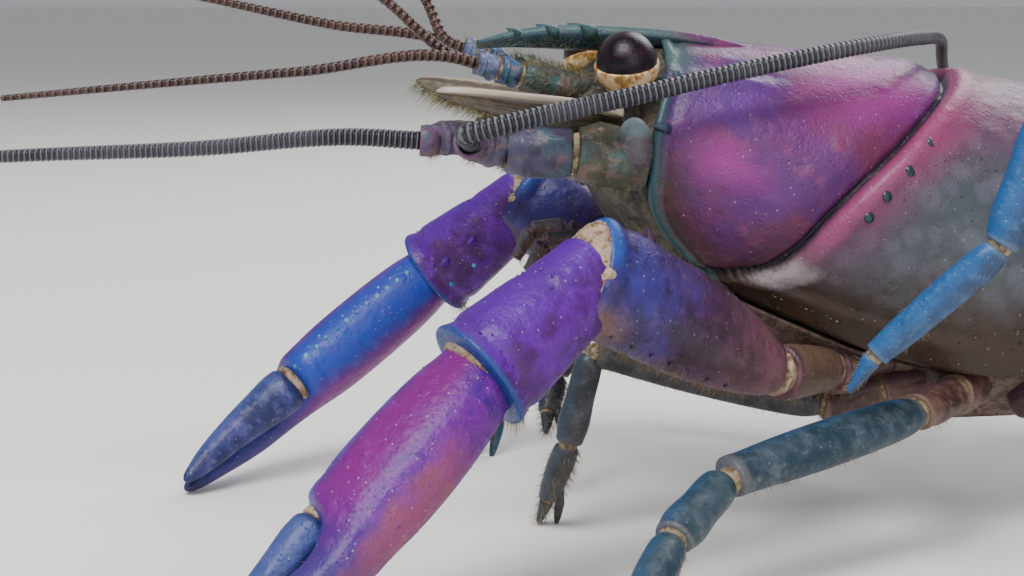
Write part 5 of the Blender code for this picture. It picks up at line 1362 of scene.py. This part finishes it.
def arm_finish(tones):
    """Merus and ischium: mauve-brown, then dark, then blue-violet with an orange foot at the far end."""
    finish = Finish("claw_arm")
    along, _, up = finish.flow
    clouds, blots, fine = finish.mottling()
    mottle = finish.step(clouds + (blots - 0.5) * 0.6, 0.3, 0.7)
    near = finish.mix(mottle, (0.070, 0.038, 0.045), (0.17, 0.085, 0.10))
    middle = finish.mix(mottle, (0.034, 0.018, 0.030), (0.075, 0.032, 0.075))
    far = finish.mix(mottle, (0.038, 0.028, 0.12), (0.06, 0.055, 0.24))
    base = finish.mix(finish.step(along + (clouds - 0.5) * 0.5, 0.15, 0.5), near, middle)
    base = finish.mix(finish.step(along + (clouds - 0.5) * 0.5, 0.45, 0.95), base, far)
    base = finish.mix(finish.step(fine * 0.5 + blots * 0.5, 0.52, 0.66) * 0.35, base, (0.16, 0.09, 0.14))
    base = finish.mix(finish.step(along, -0.02, -0.15) * 0.7, base, (0.15, 0.11, 0.075))
    base = finish.mix(finish.step(along, 0.90, 0.97) * finish.step(up, 0.0, 0.5) * 0.7, base, (0.05, 0.12, 0.40))
    foot = finish.step(along + (blots - 0.5) * 0.2, 0.72, 0.95) * finish.step(up + (fine - 0.5) * 0.5, -0.35, -0.8)
    base = finish.mix(foot * 0.8, base, (0.26, 0.16, 0.10))
    base = dots(finish, base, tones.white, 1.5, 0.12, 0.5)
    base = dots(finish, base, tones.dark, 1.7, 0.18, 0.35)
    finish.colour(base)
    shell_bump(finish, 0.9, 3.0)
    return finish.material


def palm_finish(tones):
    """Violet hand with a magenta middle, blue edges and a soft orange-pink patch on its outer edge."""
    finish = Finish("claw_hand")
    along, aside, _ = finish.flow
    clouds, blots, fine = finish.mottling()
    base = finish.mix(finish.step(clouds + (blots - 0.5) * 0.8, 0.4, 0.6), (0.085, 0.03, 0.22), (0.16, 0.04, 0.26))
    middle = finish.step(aside.size() + (blots - 0.5) * 0.6, 0.75, 0.15)
    base = finish.mix(middle * finish.step(along, 0.62, 0.4) * 0.7, base, (0.25, 0.04, 0.19))
    base = finish.mix(finish.step(blots * 0.5 + fine * 0.5, 0.52, 0.62) * 0.4, base, (0.22, 0.08, 0.30))
    base = finish.mix(finish.step(aside + (blots - 0.5) * 0.5, 0.45, 0.9) * 0.85, base, (0.055, 0.11, 0.46))
    base = finish.mix(finish.step(aside + (blots - 0.5) * 0.5, -0.7, -1.0) * finish.step(along, 0.15, 0.3) * 0.55,
        base, (0.42, 0.14, 0.12))
    base = finish.mix(finish.step(along + (blots - 0.5) * 0.1, 0.46, 0.68) * 0.85, base, (0.045, 0.045, 0.17))
    base = finish.mix(finish.step(along, 0.9, 0.98) * 0.7, base, (0.02, 0.02, 0.05))
    base = dots(finish, base, tones.white, 1.6, 0.13, 0.6)
    base = dots(finish, base, tones.dark, 1.7, 0.16, 0.3)
    finish.colour(base)
    shell_bump(finish, 0.9, 3.0)
    return finish.material


class CRAYFISH_OT_legs(bpy.types.Operator):
    """Four pairs of walking legs, the first two ending in small pincers"""

    bl_idname = "crayfish.legs"
    bl_label = "Walking legs"

    def execute(self, context):
        tones = Tones(context.scene.crayfish)
        skin = skin_finish("leg_skin", (0.36, 0.29, 0.20), (0.13, 0.09, 0.06))
        finishes = {
            # Painted shade: the second legs' dark greys stand in for the shade under the claws that they lie in;
            # the other pairs keep their teal and blue shell.
            2: limb_finish("leg_grey_painted_shade", (0.028, 0.030, 0.036), (0.060, 0.058, 0.065), (0.12, 0.115, 0.12),
                           tones.slate, (0.10, 0.09, 0.085), tones, 0.06, 0.1, 0.3),
            3: limb_finish("leg_teal", (0.026, 0.045, 0.062), (0.060, 0.085, 0.105), (0.16, 0.17, 0.19),
                           (0.035, 0.09, 0.17), (0.13, 0.13, 0.14), tones, 0.06, 0.12, 0.45),
            4: limb_finish("leg_blue", (0.045, 0.075, 0.15), (0.055, 0.115, 0.25), (0.18, 0.23, 0.30),
                           (0.05, 0.135, 0.32), (0.13, 0.18, 0.26), tones, 0.06, 0.12, 0.4),
            5: limb_finish("leg_slate", (0.035, 0.065, 0.12), (0.07, 0.12, 0.20), (0.17, 0.20, 0.26),
                           (0.05, 0.14, 0.30), (0.14, 0.15, 0.18), tones, 0.06, 0.12, 0.4),
        }
        root_shell = limb_finish("leg_root", (0.07, 0.038, 0.036), (0.15, 0.085, 0.075), (0.26, 0.17, 0.14),
            tones.plum, (0.20, 0.14, 0.11), tones, 0.1, 0.1, 0.3)
        rng = np.random.default_rng(53)
        groups = []
        for side, flip in SIDES:
            for number in (2, 3, 4, 5):
                upper, lower = self.leg(number, side, flip, finishes[number], root_shell, skin)
                groups += [limb_fringe(rng, upper, 60, 0.1, 1.0, BELOW, 0.7, 0.2, 0.7),
                    limb_fringe(rng, upper, 90, 1.1, 1.95, BELOW, 0.5, 0.3, 0.6)]
                length, count = (0.9, 190) if number == 2 else (0.6, 120)
                for angle in (0.0, ABOVE, math.pi, BELOW):
                    groups.append(limb_fringe(rng, lower, count // 2, 1.1, 2.9, angle, 0.25, 0.8, length))
                for place in np.linspace(1.1, 1.95, 7):
                    groups.append(limb_fringe(rng, lower, 22, place - 0.015, place + 0.015, BELOW, 0.4, 0.9, length,
                        spread=0.2))
        coat("setae_legs", groups, seta_finish("seta_grey", (0.16, 0.14, 0.10), (0.40, 0.35, 0.25)))
        return {"FINISHED"}

    def leg(self, number, side, flip, finish, root_shell, skin):
        root = leg_root(number, flip)
        ischium_end, knee, wrist, finger_joint, tip = (np.array(place) for place in LEG_POSE[number, side])
        size = LEG_SIZE[number]
        across = unit(np.cross(knee - ischium_end, wrist - knee))
        sized = lambda rows: [(place, wide * size, deep * size) for place, wide, deep in rows]
        start = root - unit(ischium_end - root) * 1.4
        upper = Limb((start, ischium_end, knee), across, sized(((0.0, 1.7, 1.3), (0.35, 1.75, 1.45),
            (0.46, 1.35, 1.35), (0.85, 1.25, 1.4), (1.0, 1.1, 1.25), (1.15, 1.15, 1.5), (1.5, 1.2, 1.7),
            (1.85, 1.15, 1.5), (2.0, 1.1, 1.3))))
        lower = Limb((knee, wrist, finger_joint, tip), across, sized(((0.0, 0.8, 0.9), (0.08, 0.95, 1.1),
            (0.5, 1.08, 1.3), (0.9, 1.1, 1.3), (1.0, 0.9, 1.05), (1.12, 0.95, 1.15), (1.6, 0.95, 1.15),
            (1.93, 0.78, 0.9), (2.0, 0.65, 0.75), (2.15, 0.6, 0.65), (2.6, 0.42, 0.45), (2.98, 0.2, 0.2))))
        make_piece(f"leg{number}_{side}_root", segments(upper, (0.02, 0.44, 1.0)), root_shell)
        make_piece(f"leg{number}_{side}_thigh", segments(upper, (1.0, 1.99)), finish,
            (f"leg{number}_{side}_upper",))
        parts = [lower.surface(lower.near(0.04, -0.35), lower.near(1.0, -0.06), 60, 32, 1.0, 0.12, rims),
            *segments(lower, (1.0, 2.0)), lower.surface(lower.near(2.0, 0.06), 2.98, 60, 28, 0.25, 0.25)]
        if number in (2, 3):
            heading = unit(tip - finger_joint)
            aside = np.cross(across, heading)
            begin = finger_joint - heading * 1.8 + aside * 0.2
            end = tip + aside * 1.5 + np.array((0.0, 0.0, 0.15))
            fixed = Limb((begin, (begin + end) / 2 + aside * 0.25, end), across,
                sized(((0.0, 0.66, 0.58), (1.0, 0.52, 0.46), (1.6, 0.38, 0.35), (1.98, 0.16, 0.16))))
            parts.append(fixed.surface(0.0, 1.98, 40, 24, 0.3, 0.3))
        make_piece(f"leg{number}_{side}_shin", parts, finish, (f"leg{number}_{side}_lower",))
        bend = unit((ischium_end - knee) / np.linalg.norm(ischium_end - knee)
            + (wrist - knee) / np.linalg.norm(wrist - knee))
        skins = [joint_skin(upper, 0.44), joint_skin(upper, 1.0), joint_skin(lower, 1.0), joint_skin(lower, 2.0),
            ball(knee + bend * 0.3 * size, across, (0.9 * size,) * 3, 18, 26)]
        make_piece(f"leg{number}_{side}_joint_skin", skins, skin)
        return upper, lower


def abdomen_planes():
    """Upper middle, downward and across sizes of the planes between the rings, from front to back."""
    place = np.array(body_point(0.0, 51.3, 2.3))
    planes = []
    slopes = np.radians(RING_SLOPES)
    for number in range(len(slopes) + 1):
        before = slopes[max(number - 1, 0)]
        after = slopes[min(number, len(slopes) - 1)]
        lean = (before + after) / 2
        planes.append((place.copy(), np.array((0.0, -math.sin(lean), -math.cos(lean))), RING_HALF_WIDTHS[number],
            RING_HEIGHTS[number]))
        place = place + RING_LENGTH * np.array((0.0, math.cos(after), -math.sin(after)))
    return planes


def ring_surface(front, rear, number):
    """One abdomen ring: arched half sections between two planes, hollowed below, with a pointed side lobe."""
    corners = np.array(((0.0, 0.0), (0.35, 0.05), (0.66, 0.19), (0.88, 0.42), (0.98, 0.68), (0.95, 0.92),
        (0.84, 1.0), (0.7, 0.86), (0.35, 0.76), (0.0, 0.74)))
    turn = np.linspace(0.0, 1.0, len(corners))
    fine = np.linspace(0.0, 1.0, 46)
    x = table(fine, np.column_stack((turn, corners[:, 0])))[None, :]
    z = table(fine, np.column_stack((turn, corners[:, 1])))[None, :]
    share = np.concatenate(([-0.05, -0.04], np.linspace(-0.03, 1.1, 40), [1.11, 1.1]))[:, None]
    shrink = np.ones(len(share))
    shrink[[0, 1, -2, -1]] = (0.86, 0.95, 0.965, 0.9)
    wide = table(share[:, 0], ((-0.1, 0.93), (0.0, 0.94), (0.22, 0.98), (0.6, 1.0), (1.0, 1.015),
        (1.12, 1.02))) * shrink
    drop = table(share[:, 0], ((-0.1, 0.84), (0.0, 0.86), (0.22, 0.98), (0.55, 1.12), (0.8, 1.04), (1.0, 0.9),
        (1.12, 0.82)))
    tops = [front[k] + (rear[k] - front[k]) * share for k in range(4)]
    top, down = tops[0][:, None], unit(tops[1])[:, None]
    half, height = tops[2] * wide[:, None], tops[3] * drop[:, None]
    lift = (0.14 * hill(share - 0.98, 0.1) - 0.18 * hill(share - 0.3, 0.07)) * rise(0.9 - z, 0.0, 0.5)
    z_place = z * height + (1 - shrink[:, None]) * 2.0 * (1 - z) - lift * (1 - z)
    x_place = x * (half + lift)
    left = top + down * z_place[..., None] + x_place[..., None] * np.array((1.0, 0.0, 0.0))
    right = left[:, -2:0:-1] * np.array((-1.0, 1.0, 1.0))
    grid = np.concatenate((left, right), axis=1)
    columns = np.concatenate((fine, fine[-2:0:-1]))[None, :]
    flow = np.stack(np.broadcast_arrays(share, columns, share * 0 + number), axis=-1)
    return tube(grid, flow)


def abdomen_finish(tones):
    """Mottled purple and grey-green rings with blue side lobes and a pale rear rim."""
    finish = Finish("abdomen_shell", 0.33, 0.3)
    along, down, _ = finish.flow
    clouds, blots, fine = finish.noise(0.22, 4.0), finish.noise(0.7, 5.0), finish.noise(2.4, 4.0)
    base = finish.mix(finish.step(blots + (fine - 0.5) * 0.4, 0.42, 0.6), (0.10, 0.05, 0.12), (0.13, 0.14, 0.13))
    base = finish.mix(finish.step(clouds, 0.42, 0.62) * 0.7, base, (0.20, 0.075, 0.19))
    base = finish.mix(finish.step(down + (blots - 0.5) * 0.1, 0.36, 0.56) * 0.8, base, (0.055, 0.085, 0.22))
    base = finish.mix(finish.step(along, 0.94, 1.04) * 0.5, base, (0.24, 0.18, 0.24))
    base = finish.mix(finish.step(along, 0.2, 0.02) * 0.6, base, (0.06, 0.05, 0.08))
    base = dots(finish, base, tones.white, 0.7, 0.13, 0.5)
    finish.colour(base)
    shell_bump(finish)
    return finish.material


def fan_finish(tones):
    """Blue-violet tail blades, rim paler and ribbed; flow is (share along, across, up), the last two -1 to 1."""
    finish = Finish("fan_shell", 0.36, 0.25)
    along, aside, _ = finish.flow
    clouds, fine = finish.noise(0.4, 5.0), finish.noise(2.4, 4.0)
    base = finish.mix(finish.step(clouds, 0.4, 0.62), (0.05, 0.06, 0.20), (0.15, 0.065, 0.24))
    base = finish.mix(finish.step(along + (fine - 0.5) * 0.1, 0.6, 0.9) * 0.65, base, (0.28, 0.18, 0.26))
    base = dots(finish, base, tones.white, 0.8, 0.13, 0.5)
    finish.colour(base)
    finish.bump((aside * 40.0).sine() * finish.step(along, 0.5, 0.75) + finish.noise(2.0) * 0.6, 0.07)
    return finish.material


class Blade:
    """Tail blade: a flat lens whose middle falls and then levels out, with low ribs along it."""

    def __init__(self, root, heading, length, half_widths, drop):
        self.across = np.array((math.cos(heading), math.sin(heading), 0.0))
        self.ahead = np.array((-math.sin(heading), math.cos(heading), 0.0))
        self.root = np.asarray(root, float)
        self.length, self.drop = length, drop
        self.halves = np.column_stack((np.linspace(0.0, 1.0, len(half_widths)), half_widths))

    def line(self, share):
        """Middle and half width at shares of the length; the end is rounded off over its last part."""
        half = table(share, self.halves) * np.sqrt(np.maximum(1 - rise(share, 0.94, 1.0) ** 2, 0.02))
        fall = self.drop * (1 - (1 - share) ** 1.8)
        middle = self.root + self.ahead * (self.length * share)[:, None]
        middle[:, 2] -= fall
        return middle, half

    def surface(self, thickness, ribs):
        share = np.concatenate((np.linspace(0.0, 0.8, 40), np.linspace(0.8, 1.0, 30)[1:]))
        middle, half = self.line(share)
        thick = thickness * (1 - 0.45 * share) / 2
        angle = np.linspace(0, 2 * np.pi, 72, endpoint=False)[None, :]
        x, up = np.cos(angle), np.sin(angle)
        z = np.sign(up) * np.abs(up) ** 0.8 * np.where(up > 0, 1.1, 0.75) * thick[:, None]
        ridge = ribs * hill(x, 0.12) - 0.5 * ribs * hill(np.abs(x) - 0.25, 0.08)
        z = z + np.where(up > 0, 1, 0) * ridge * (1 - share[:, None] * 0.6)
        grid = middle[:, None] + (half[:, None] * x)[..., None] * self.across
        grid[..., 2] = grid[..., 2] + z
        return tube(grid, np.stack(np.broadcast_arrays(share[:, None], x, up), axis=-1))

    def hairs(self, rng, count, length):
        """Fringe round the far half of the rim."""
        share = 1 - 0.55 * rng.uniform(0.0, 1.0, count) ** 1.5
        side = rng.choice((-1.0, 1.0), count)
        reach = np.where(share > 0.955, rng.uniform(0.2, 1.0, count), 1.0) * side
        middle, half = self.line(np.minimum(share, 0.975))
        turn = rise(share, 0.78, 1.0)[:, None]
        points = middle + (half * reach * 0.97)[:, None] * self.across
        heading = (side[:, None] * self.across) * (1 - turn) + self.ahead * (0.4 + turn)
        shares = np.column_stack((share, 0.5 + 0.45 * reach))
        return fringe(rng, points, heading, shares, length, 0.026, 0.1, (0.0, 0.0, -0.03))


class CRAYFISH_OT_abdomen(bpy.types.Operator):
    """Six abdomen rings with their swimmerets, the telson and the tail fan"""

    bl_idname = "crayfish.abdomen"
    bl_label = "Abdomen and tail fan"

    def execute(self, context):
        tones = Tones(context.scene.crayfish)
        shell, fan = abdomen_finish(tones), fan_finish(tones)
        paddle = limb_finish("swimmeret", (0.20, 0.14, 0.16), (0.32, 0.24, 0.24), (0.45, 0.36, 0.32), tones.mauve,
            tones.cream, tones, 0.1, 0.1, 0.2)
        planes = abdomen_planes()
        for number in range(6):
            front, rear = planes[number], planes[number + 1]
            make_piece(f"abdomen_ring_{number + 1}", [ring_surface(front, rear, number)], shell,
                (f"abdomen_{number + 1}",))
            if 1 <= number <= 4:
                make_piece(f"swimmerets_{number + 1}", self.swimmerets(front, rear), paddle)
        self.fan(planes, fan)
        return {"FINISHED"}

    def swimmerets(self, front, rear):
        along = unit(rear[0] - front[0])
        top, down, half, height = (near + (far - near) * 0.45 for near, far in zip(front, rear))
        paddles = []
        for sign in (1.0, -1.0):
            root = top + down * (height * 0.62) + np.array((sign * half * 0.52, 0.0, 0.0))
            elbow = root + down * 3.0 + along * 0.4
            for turn, out in ((0.0, 0.0), (0.35, 0.5)):
                heading = unit(down * 0.75 + along * (0.65 + turn) + np.array((sign * out * 0.5, 0.0, 0.0)))
                limb = Limb((root, elbow, elbow + heading * SWIMMERET_LENGTH), (1.0, 0.0, 0.0),
                    ((0.0, 0.8, 0.6), (1.0, 0.65, 0.5), (1.4, 0.85, 0.35), (1.8, 0.7, 0.28), (2.0, 0.3, 0.2)))
                paddles.append(limb.surface(0.3, 1.98, 30, 20, 0.4, 0.4))
        return paddles

    def fan(self, planes, finish):
        top, down = planes[-1][:2]
        back = np.cross(down, (1.0, 0.0, 0.0))
        back = back if back[1] > 0 else -back
        root = top + down * 3.2 + back * 0.5
        rng = np.random.default_rng(67)
        telson = Blade(root - (0.0, 1.2, -0.3), 0.0, FAN_LENGTH + 1.2, (3.6, 3.9, 4.0, 3.9, 3.7, 3.1, 2.2),
            root[2] + 0.1)
        make_piece("tail_telson", [telson.surface(1.5, 0.1)], finish, ("telson",))
        groups = [telson.hairs(rng, 420, 1.0)]
        for side, flip in SIDES:
            sign = flip[0]
            for name, turn, sideways, below, sizes in (
                    ("inner", 0.32, 4.5, 1.4, (1.3, 2.0, 2.7, 3.1, 3.1, 2.5, 1.3)),
                    ("outer", 0.95, 6.4, 2.8, (1.3, 2.1, 2.9, 3.4, 3.4, 2.8, 1.4))):
                start = root + np.array((sign * sideways, -1.0, -below))
                vane = Blade(start, -sign * turn, FAN_LENGTH + 0.5, sizes, start[2] - 0.15)
                make_piece(f"tail_{name}_{side}", [vane.surface(0.85, 0.12)], finish,
                    (f"uropod_{name}_{side}",))
                groups.append(vane.hairs(rng, 420, 1.1))
        coat("setae_tail", groups, seta_finish("seta_pink", (0.24, 0.15, 0.14), (0.46, 0.34, 0.30)))


class CRAYFISH_OT_stage(bpy.types.Operator):
    """Pale floor, soft studio lights and the camera"""

    bl_idname = "crayfish.stage"
    bl_label = "Floor, lights and camera"

    def execute(self, context):
        settings = context.scene.crayfish
        bpy.ops.mesh.primitive_plane_add(size=FLOOR_SIZE, location=(0.0, 0.0, -FLOOR_DROP))
        floor = context.object
        floor.name = "studio_floor"
        finish = Finish("floor_paper", 0.85, 0.0, 0.2)
        finish.colour(tuple(settings.floor_tone))
        floor.data.materials.append(finish.material)
        world = bpy.data.worlds.new("studio")
        world.use_nodes = True
        world.node_tree.nodes["Background"].inputs["Color"].default_value = WORLD_TONE
        world.node_tree.nodes["Background"].inputs["Strength"].default_value = WORLD_STRENGTH
        context.scene.world = world
        for name, place, size, power in LIGHTS:
            data = bpy.data.lights.new(name, "AREA")
            data.size = size
            data.energy = power * settings.light_power
            light = bpy.data.objects.new(name, data)
            light.location = place
            light.rotation_mode = "QUATERNION"
            light.rotation_quaternion = (Vector(LIGHT_AIM) - Vector(place)).to_track_quat("-Z", "Y")
            context.scene.collection.objects.link(light)
        turn, fall = CAMERA_TURN, CAMERA_FALL
        look = np.array((-math.cos(turn) * math.cos(fall), math.sin(turn) * math.cos(fall), -math.sin(fall)))
        aim = np.array((0.0, CAMERA_BACK, CAMERA_HEIGHT - CAMERA_DISTANCE * math.sin(fall)))
        data = bpy.data.cameras.new("camera")
        data.sensor_width = SENSOR_MM
        data.lens = FOCAL_PIXELS / FRAME_PIXELS * SENSOR_MM
        data.clip_start = 0.005
        data.clip_end = 20.0
        camera = bpy.data.objects.new("camera", data)
        camera.location = (aim - look * CAMERA_DISTANCE + SHIFT) * MM
        camera.rotation_mode = "QUATERNION"
        camera.rotation_quaternion = Vector(look).to_track_quat("-Z", "Y")
        context.scene.collection.objects.link(camera)
        context.scene.camera = camera
        return {"FINISHED"}


class CRAYFISH_PT_panel(bpy.types.Panel):
    """Lists the pieces of the crayfish model"""

    bl_label = "Crayfish model"
    bl_idname = "CRAYFISH_PT_panel"
    bl_space_type = "VIEW_3D"
    bl_region_type = "UI"
    bl_category = "Crayfish"

    def draw(self, context):
        for name in CrayfishSettings.__annotations__:
            self.layout.prop(context.scene.crayfish, name)
        for operator in OPERATORS:
            self.layout.operator(operator.bl_idname)


OPERATORS = (CRAYFISH_OT_carapace, CRAYFISH_OT_head, CRAYFISH_OT_feelers, CRAYFISH_OT_claws, CRAYFISH_OT_legs,
             CRAYFISH_OT_abdomen, CRAYFISH_OT_stage)
CLASSES = (CrayfishSettings, *OPERATORS, CRAYFISH_PT_panel)


def register():
    for each in CLASSES:
        bpy.utils.register_class(each)
    bpy.types.Scene.crayfish = bpy.props.PointerProperty(type=CrayfishSettings)


def unregister():
    del bpy.types.Scene.crayfish
    for each in reversed(CLASSES):
        bpy.utils.unregister_class(each)


def main():
    register()
    bpy.ops.crayfish.carapace()
    bpy.ops.crayfish.head()
    bpy.ops.crayfish.feelers()
    bpy.ops.crayfish.claws()
    bpy.ops.crayfish.legs()
    bpy.ops.crayfish.abdomen()
    bpy.ops.crayfish.stage()


if __name__ == "__main__":
    main()
